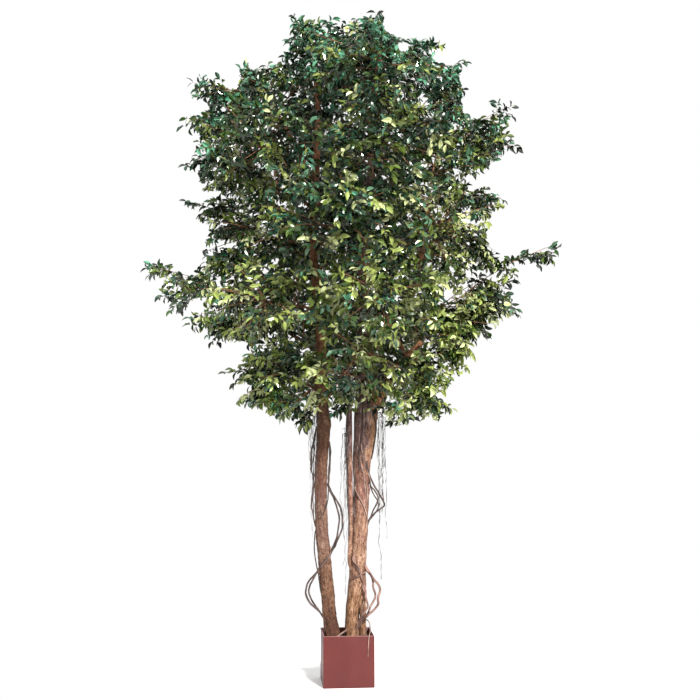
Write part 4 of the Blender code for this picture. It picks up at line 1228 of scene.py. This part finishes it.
# %% [markdown]
# ## The crown: where there is air
# A crown isn't an even ball of leaves. Small bites are missing from its outline, limbs show here and there
# between the leaves, and its sides let more sky through than its top. The bites and the windows are ovals as
# they are seen from the front, so a point is moved along its line of sight to the plane through the tree's
# middle before it is tested. A shoot or leaf that would touch a limb or leave the crown is left out too.

# %% Air in the crown
WINDOWS = (  # x, z, half the width and half the height of each place where a limb shows through the leaves
    (-0.215, 3.52, 0.045, 0.28), (-0.2, 2.76, 0.042, 0.22), (0.115, 2.72, 0.042, 0.24),
    (0.16, 3.36, 0.036, 0.16), (0.4, 2.24, 0.08, 0.06),
)
NOTCHES = (  # the same for each bite of air in the crown's outline
    (0.89, 3.835, 0.09, 0.08), (0.95, 3.94, 0.05, 0.06), (0.86, 4.05, 0.08, 0.075),
    (0.67, 4.19, 0.075, 0.05), (0.44, 4.45, 0.19, 0.115), (0.39, 4.27, 0.045, 0.035),
    (1.05, 3.35, 0.095, 0.12), (1.06, 3.04, 0.07, 0.07), (0.86, 3.27, 0.04, 0.025),
    (1.08, 2.925, 0.12, 0.12), (0.79, 1.86, 0.11, 0.11), (0.62, 1.845, 0.025, 0.03),
    (-0.86, 2.115, 0.11, 0.05), (-0.7, 1.9, 0.06, 0.03), (-0.62, 1.68, 0.1, 0.08),
    (-0.395, 1.6, 0.06, 0.06), (-1.09, 2.69, 0.05, 0.03), (-0.74, 2.18, 0.09, 0.035),
    (-1.02, 2.46, 0.045, 0.038), (-0.87, 2.61, 0.028, 0.018), (-1.04, 2.93, 0.07, 0.12),
    (-1.08, 2.8, 0.075, 0.11), (-0.8, 4.06, 0.05, 0.1), (-1.13, 3.57, 0.075, 0.11),
    (-1.07, 3.32, 0.05, 0.06), (-1.06, 3.85, 0.1, 0.05),
)
BOX_ROOM = 0.02  # how far leaves may reach past the solids' box
WINDOW_LOSS = 0.80  # the share of leaves that are missing in a window
LEAF_ROOM, SHOOT_ROOM, SHOOT_TIP_ROOM, TWIG_ROOM = 0.010, 0.008, 0.012, 0.001  # clear of a limb's bark
EDGE_SHARE = 1.04  # how far leaves may reach past their mass's ball
box_low, box_high = ([v + side * BOX_ROOM for v in corner] for corner, side in zip(cad_box, (-1, 1)))


def inside_any(point, ovals):
    """Whether the point lies in one of these ovals, seen from the front."""
    scale = EYE_AWAY / (EYE_AWAY + point.dot(ahead))
    right = EYE_RIGHT + (point.dot(across) - EYE_RIGHT) * scale
    height = EYE_HEIGHT + (point.z - EYE_HEIGHT) * scale
    return any(((right - x) / wide) ** 2 + ((height - z) / tall) ** 2 < 1 for x, z, wide, tall in ovals)


def in_window(point):
    """Whether the point is in front of a limb that shows through the leaves."""
    return point.y < 0.05 and inside_any(point, WINDOWS)


def too_airy(point, chance):
    """Whether a shoot is left out here: the crown is more open at its sides and round the trunks."""
    sides = (0.62 if point.x < 0 else 0.50) * fade(abs(point.x), 0.35, 0.80) * fade(point.z, 3.7, 3.1)
    middle = 0.25 * fade(abs(point.x), 0.40, 0.15) * fade(point.z, 2.4, 2.0)
    return chance.random() < 0.08 + sides + middle


def fits(point, mass, loose, room):
    """Whether the point is inside the crown and the model's box, and this far from any limb."""
    if not loose and (mass.share(point) > EDGE_SHARE or point.z > roof(point)):
        return False
    if any(not box_low[k] < point[k] < box_high[k] for k in range(3)) or inside_any(point, NOTCHES):
        return False
    return limb_tree.find_nearest(point, room)[0] is None


print("windows:", len(WINDOWS), "notches:", len(NOTCHES))

# %% [markdown]
# ## The crown: leaves, shoots and twigs
# Gravity bends a shoot's end down, and a leaf turns its face up and out of the crown. All the leaves of one
# shoot are of one tone, as on a real spray. Yellow-green is common low on the right, partly as painted light
# on the side that faces the sun, and blue-green higher up and on the left. Under the crown's middle the tones
# are darker, as painted shade. A loose shoot belongs to a sprig and may leave its mass's ball. A twig ends at
# its last shoot, because a bare end would look like a mistake.


# %% Leaves, shoots and twigs
def pick_tone(point, chance):
    """A leaf tone by chance, with weights between low right, high left and the top."""
    # painted light: the share leans to the pale tones on the right, the side that faces the sun
    share = 0.5 + 0.30 * point.x - 0.42 * (point.z - 3.1) - 0.08 * fade(-point.x, 0.50, 0.90)
    # painted shade: darker tones under the crown's middle
    share -= 0.33 * fade(point.z, 2.35, 1.95) * fade(point.x, 0.35, 0.10)  # dark under the crown's middle
    share -= 0.21 * fade(point.x, -0.50, -0.20) * fade(point.z, 2.70, 3.20)  # cool above the middle
    # painted light: more pale tones on the right
    share += 0.16 * fade(point.x, 0.25, 0.60) * fade(point.z, 3.30, 2.90)  # fresh on the right
    share = min(1.0, max(0.0, share))
    top = fade(point.z, 3.6, 4.3)
    weights = [(t.low_right * share + t.high_left * (1 - share)) * (1 - top) + t.top * top for t in TONES]
    edge = fade(abs(point.x), 0.90, 1.05)  # the sprigs are dark against the light
    weights[0] *= 1 + 2 * edge
    weights[-2:] = [weight * (1 - 0.92 * edge) for weight in weights[-2:]]
    return chance.choices(range(len(TONES)), weights)[0]


def leaf(root, way, roll, splay, mass, tone, chance, loose):
    """One leaf that leaves its shoot at this splay, on the side given by the roll."""
    turn = splay + chance.uniform(-0.25, 0.25)
    heading = way * math.cos(turn) + beside(way, roll + chance.gauss(0, 0.3)) * math.sin(turn)
    heading = (heading + UP * chance.uniform(-0.55, 0.20)).normalized()
    size = LEAF_LENGTH * chance.uniform(0.78, 1.12)
    if in_window(root) and chance.random() < WINDOW_LOSS:
        return
    if fits(root + heading * size, mass, loose, LEAF_ROOM) and not inside_any(root, NOTCHES):
        spread = Vector((chance.gauss(0, 1), chance.gauss(0, 1), chance.gauss(0, 1)))
        face = outward(root) * 0.70 + UP * 0.70 + spread * 0.72
        leaves[mass.tier].append(Leaf(root, heading, face, size, chance.randrange(LEAF_KINDS), tone))


def shoot(start, heading, length, mass, chance, loose, sides):
    """A shoot with its leaves and side shoots. One that doesn't fit is tried again shorter."""
    sag = chance.uniform(0.0, 0.22) * length
    path = [start + heading * length * t - UP * sag * t**2 for t in (0.0, 0.35, 0.7, 1.0)]
    crossing = any(inside_any(start.lerp(path[-1], share), NOTCHES) for share in (0.3, 0.5))
    ends_fit = fits(path[-1], mass, loose, SHOOT_TIP_ROOM) and fits(path[2], mass, loose, SHOOT_ROOM)
    if crossing or not ends_fit:
        if length > 0.08:
            shoot(start, heading, length * 0.6, mass, chance, loose, sides)
        return
    shoots.append((path, 0.0016 if sides else 0.0012, 0.0007))
    tone = pick_tone(start, chance)
    roll = chance.gauss(0, 0.7)
    count = max(3, round(length / LEAF_GAP))
    for k in range(count):
        root, way = along(path, (k + 0.7) / count)
        leaf(root, way, roll + math.pi * k, 0.95, mass, tone, chance, loose)
    root, way = along(path, 1.0)
    leaf(root, way, roll, 0.0, mass, tone, chance, loose)
    for k in range(sides):
        if not loose and too_airy(start, chance):
            continue
        root, way = along(path, 0.15 + 0.6 * k / sides)
        turn = chance.uniform(0.6, 1.0)
        lean = way * math.cos(turn) + beside(way, roll + math.pi * k + chance.gauss(0, 0.6)) * math.sin(turn)
        shoot(root, lean, length * chance.uniform(0.38, 0.55), mass, chance, loose, 0)


def drawn_in(start, end, mass):
    """The end of a twig, drawn back until its outer part fits in the crown."""
    for _ in range(6):
        if not all(fits(start.lerp(end, share), mass, False, TWIG_ROOM) for share in (0.6, 0.8, 1.0)):
            end = end.lerp(start, 0.2)
    return end


def dress_twig(path, length, mass):
    """Two more shoots for a twig that chance left nearly bare. They have draws of their own."""
    own = random.Random(len(twigs))
    for share, side in ((0.45, 0.7), (0.72, -0.7)):
        root, way = along(path, share)
        shoot(root, (way * 0.7 + beside(way, 0.3) * side).normalized(), length * 0.9, mass, own, False, 2)


def twig(start, end, shares, mass, chance, loose, length):
    """A twig from the stem, with a shoot at each of these shares of it."""
    arch = TWIG_ARCH if not loose else SPRIG_ARCH if abs(end.x) > 1.0 else 0.0
    path = bow_path(start, end if loose else drawn_in(start, end, mass), arch, 4)
    lead, first, dressed = chance.random(), len(shoots), 0.0
    drop, rise = (-0.25, 0.05) if loose else (-0.15, 0.35)
    for k, share in enumerate(shares):
        before = len(shoots)
        root, way = along(path, share)
        if not loose and share < 0.99 and too_airy(root, chance):
            continue
        turn = 0.0 if share > 0.99 else chance.uniform(0.7, 1.15)
        roll = math.tau * (k * 0.5 + 0.12 * lead + chance.gauss(0, 0.12))
        heading = way * math.cos(turn) + beside(way, roll) * math.sin(turn)
        heading += outward(root) * 0.30 + UP * chance.uniform(drop, rise)
        reach = length * chance.uniform(0.80, 1.05) * (0.75 if loose and share < 0.99 else 1.0)
        shoot(root, heading.normalized(), reach, mass, chance, loose, 3)
        if len(shoots) > before:
            dressed = share
    if not loose and len(shoots) < first + 4:
        dress_twig(path, length, mass)
        dressed = max(dressed, 0.75)
    if dressed:
        twigs.append(([along(path, dressed * k / 4)[0] for k in range(5)], 0.0042, 0.0018))


print("growth helpers ready")

# %% [markdown]
# ## The crown: the masses grow
# Each mass has its own seeded generator, so a change in one leaves the others as they are. The sprigs are
# long twigs to named places outside the ball, which give the crown its outline, and a few shoots sit right on
# the stem, which would look bare otherwise.


# %% Growth of the masses
def targets(mass, count, lead, shares, room):
    """Where twigs end: even directions round the middle, drawn in until they are in the space."""
    for k in range(count):
        height = 1 - 2 * (k + 0.5) / count
        turn = math.tau * (k * GOLDEN_TURN + lead)
        flat = math.sqrt(1 - height**2)
        away = Vector((flat * math.cos(turn), flat * math.sin(turn), height)) * mass.reach
        for share in shares:
            if mass.margin(mass.centre + away * share) > room:
                yield mass.centre + away * share
                break


def grow_sprigs(stem, mass, chance):
    """The sprigs that this mass carries."""
    for *tip, reach, drop in SPRIGS:
        tip = Vector(tip)
        below = tip - UP * drop
        if mass is max(masses, key=lambda m: m.margin(below)):
            end = tip - (tip - mass.centre).normalized() * reach * 0.9
            twig(along(stem, chance.uniform(0.35, 0.95))[0], end, SPRIG_SHOOTS, mass, chance, True, reach)


def grow(number, mass, seat):
    """A mass's stem, twigs and sprigs."""
    chance = random.Random(SEED * 100 + number)
    lead = chance.random()
    end = mass.centre + (mass.centre - seat.start) * STEM_PAST
    stem = bow_path(seat.start, end, 0, 3, seat.way)
    stems.append((stem, min(seat.radius, 0.0095), 0.0040))

    def foot_for(target):
        """Where a twig to this target leaves the stem: a little below the nearest point."""
        marks = [k / STEM_MARKS for k in range(STEM_MARKS)]
        foot = min(marks, key=lambda share: (along(stem, share)[0] - target).length) - TWIG_BACK
        return along(stem, max(TWIG_BACK, foot))[0]

    for target in targets(mass, TWIGS, lead, TWIG_REACH, TWIG_MARGIN):
        twig(foot_for(target), target, TWIG_SHOOTS, mass, chance, False, TWIG_LENGTH)
    for target in targets(mass, FINER_TWIGS[mass.tier], chance.random(), FINER_REACH, FINER_MARGIN):
        twig(foot_for(target), target, FINER_SHOOTS, mass, chance, False, FINER_LENGTH)
    grow_sprigs(stem, mass, chance)
    root, way = along(stem, 1.0)
    shoot(root, way, TIP_LENGTH, mass, chance, False, 3)
    for share, turn in STEM_SHOOTS:
        root, _ = along(stem, share)
        heading = Matrix.Rotation(turn, 3, "Z") @ outward(root) + UP * 0.2
        shoot(root, heading.normalized(), FINER_LENGTH, mass, chance, False, 3)


for number, (mass, seat) in enumerate(zip(masses, seats)):
    grow(number, mass, seat)
print("stems", len(stems), "twigs", len(twigs), "shoots", len(shoots))

# %% [markdown]
# ## The crown: low shoots on the trunks
# A few leafy shoots spring right from the bark below the crown and hide where the trunks enter it.

# %% Low shoots
LOW_SHOOTS = (  # the limb, then the height, turn and length of a shoot that hangs from its bark
    ("trunk_left", 1.74, 205, 0.2), ("trunk_left", 1.7, 190, 0.15), ("trunk_left", 1.84, -20, 0.16),
    ("trunk_left", 1.88, -120, 0.15), ("slim_stem", 1.78, 215, 0.11), ("slim_stem", 1.86, -100, 0.16),
    ("slim_stem", 1.92, 170, 0.18), ("trunk_right", 1.9, -130, 0.16), ("trunk_right", 1.92, -80, 0.14),
    ("trunk_right", 1.84, -8, 0.2), ("trunk_right", 1.9, 90, 0.2),
)
chance = random.Random(SEED)
for name, height, degrees, length in LOW_SHOOTS:
    turn = math.radians(degrees)
    root, start = on_bark(name, height, turn, -0.003), on_bark(name, height, turn, 0.016)
    heading = Vector((math.cos(turn), math.sin(turn), -0.55)).normalized()
    twigs.append((bow_path(root, start, 0, 4), 0.0024, 0.0018))
    shoot(start, heading, length, masses[0], chance, True, 3)
print("twigs", len(twigs), "shoots", len(shoots), "leaves", sum(map(len, leaves.values())))

# %% [markdown]
# ## One leaf
# A leaf is a grid of two columns, narrowed row by row to the leaf's outline. The blade is folded a little
# along its middle and bends down towards the tip. Three leaves with other folds are enough, because each copy
# has its own size and turn.

# %% Leaf shapes
LEAF_ROWS = ((0.0, 0.0), (0.27, 0.78), (0.56, 1.00), (0.83, 0.60), (1.0, 0.0))  # place, width
LEAF_ASPECT = 0.45


def leaf_shape(fold, droop):
    """A leaf of length 1 along Y, with its base at the origin."""
    bm = bmesh.new()
    rows = len(LEAF_ROWS) - 1
    bmesh.ops.create_grid(bm, x_segments=2, y_segments=rows, size=0.5)
    for vert in bm.verts:
        place, width = LEAF_ROWS[round((vert.co.y + 0.5) * rows)]
        side = vert.co.x * width * LEAF_ASPECT
        vert.co = (side, place, fold * abs(side) - droop * max(0.0, place - 0.1) ** 2)
    bmesh.ops.remove_doubles(bm, verts=bm.verts[:], dist=1e-4)
    rib = [e for e in bm.edges if all(abs(v.co.x) < 1e-5 for v in e.verts)]
    bmesh.ops.split_edges(bm, edges=rib)
    return shape_arrays(bm)


LEAF_FOLDS = ((0.78, 0.26), (0.46, 0.42), (1.00, 0.16))  # the fold along the middle, and the droop
leaf_shapes = [leaf_shape(fold, droop) for fold, droop in LEAF_FOLDS]
print("a leaf has", len(leaf_shapes[0][1]), "triangles")

# %% [markdown]
# ## All the leaves of a tier
# The leaves become one large mesh for each tier, or more where there are very many. A leaf's frame is its own
# way, the side across it, and the normal of both, so it looks where its face should.

# %% Leaf pieces
MOST = 14000  # leaves in one piece, which keeps it under 170,000 triangles


def unit(rows):
    """The rows, each scaled to a length of 1."""
    return rows / np.linalg.norm(rows, axis=1)[:, None]


for tier in TIERS:
    grown = leaves[tier.name]
    for part, first in enumerate(range(0, len(grown), MOST)):
        batch = grown[first : first + MOST]
        points, corners, tones, count = [], [], [], 0
        for kind, shape in enumerate(leaf_shapes):
            chosen = [leaf for leaf in batch if leaf.kind == kind]
            way = unit(np.array([leaf.way for leaf in chosen]))
            side = unit(np.cross(way, np.array([leaf.face for leaf in chosen])))
            size = np.array([leaf.size for leaf in chosen])[:, None, None]
            turned = np.stack([side, way, np.cross(side, way)], axis=2) * size
            roots = np.array([leaf.root for leaf in chosen])
            placed, indexes, shades = copies(shape, roots, turned, [leaf.tone for leaf in chosen])
            points.append(placed)
            corners.append(indexes + count)
            tones.append(shades)
            count += len(placed)
        name = f"leaves_{tier.name}_{part + 1}"
        mesh = joined_mesh(name, np.concatenate(points), np.concatenate(corners), np.concatenate(tones))
        hidden = [f"foliage_{tier.name}_{k + 1}" for k in range(tier.count)] if part == 0 else ()
        dress(name, mesh, leaf_cloth, hidden)

# %% [markdown]
# ## All the twigs
# Stems, twigs and shoots are small tubes with the same number of points, so one unrolled tube, made once with
# bmesh, gives the triangles of them all, and arrays give their points.


# %% Twig pieces
def tube_shape(sides, rings):
    """An unrolled tube: X is the turn as a share, Y the ring, and the triangles join ring to ring."""
    bm = bmesh.new()
    bmesh.ops.create_circle(bm, segments=sides, radius=1.0)
    ring = bm.edges[:]
    for k in range(1, rings):
        made = bmesh.ops.extrude_edge_only(bm, edges=ring)["geom"]
        edges = [g for g in made if isinstance(g, bmesh.types.BMEdge)]
        ring = [e for e in edges if all(v in made for v in e.verts)]
        for vert in (g for g in made if isinstance(g, bmesh.types.BMVert)):
            vert.co.z = k
    bmesh.ops.holes_fill(bm, edges=ring, sides=0)
    bmesh.ops.recalc_face_normals(bm, faces=bm.faces[:])
    return shape_arrays(bm)


def tube_arrays(grown, sides):
    """Points and triangles of one tube for each (path, first radius, last radius)."""
    paths = np.array([[tuple(p) for p in path] for path, _, _ in grown])
    count, rings = paths.shape[:2]
    first = np.array([g[1] for g in grown])
    last = np.array([g[2] for g in grown])
    flow = np.gradient(paths, axis=1)
    flow /= np.linalg.norm(flow, axis=2)[..., None]
    chord = unit(paths[:, -1] - paths[:, 0])
    hint = np.eye(3)[np.abs(chord).argmin(axis=1)]
    u = np.cross(flow, hint[:, None, :])
    u /= np.linalg.norm(u, axis=2)[..., None]
    v = np.cross(flow, u)
    shape, corners = tube_shape(sides, rings)
    ring = np.round(shape[:, 2]).astype(int)
    radius = first[:, None] + (last - first)[:, None] * ring[None] / (rings - 1)
    spoke = shape[None, :, 0, None] * u[:, ring] + shape[None, :, 1, None] * v[:, ring]
    placed = paths[:, ring] + spoke * radius[..., None]
    indexes = corners[None] + np.arange(count)[:, None, None] * len(shape)
    return placed.reshape(-1, 3), indexes.reshape(-1, 3)


for name, grown, sides in (("mass_stems", stems, 8), ("twigs", twigs, 5), ("shoots", shoots, 3)):
    points, corners = tube_arrays(grown, sides)
    mesh = joined_mesh(name, points, corners, np.zeros(len(corners)))
    dress(name, mesh, [twig_bark], ())

# %% [markdown]
# ## The floor
# The floor is a pale disc, small enough that nearly all of the crown's shadow falls past it.

# %% Floor
FLOOR_RADIUS = 1.9
make = Finish("pale_floor", Roughness=0.9, Base_Color=(0.95, 0.95, 0.95, 1))
bm = bmesh.new()
bmesh.ops.create_circle(bm, cap_ends=True, segments=96, radius=FLOOR_RADIUS)
mesh = bpy.data.meshes.new("floor")
bm.to_mesh(mesh)
bm.free()
mesh.materials.append(make.material)
floor = bpy.data.objects.new("floor", mesh)
bpy.context.scene.collection.objects.link(floor)
print("floor radius:", FLOOR_RADIUS)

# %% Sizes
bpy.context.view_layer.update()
triangles = sum(
    sum(len(p.vertices) - 2 for p in obj.data.polygons)
    for obj in bpy.data.objects
    if obj.type == "MESH" and not obj.name.startswith("floor")
)
print("triangles, with those of the solids:", triangles)
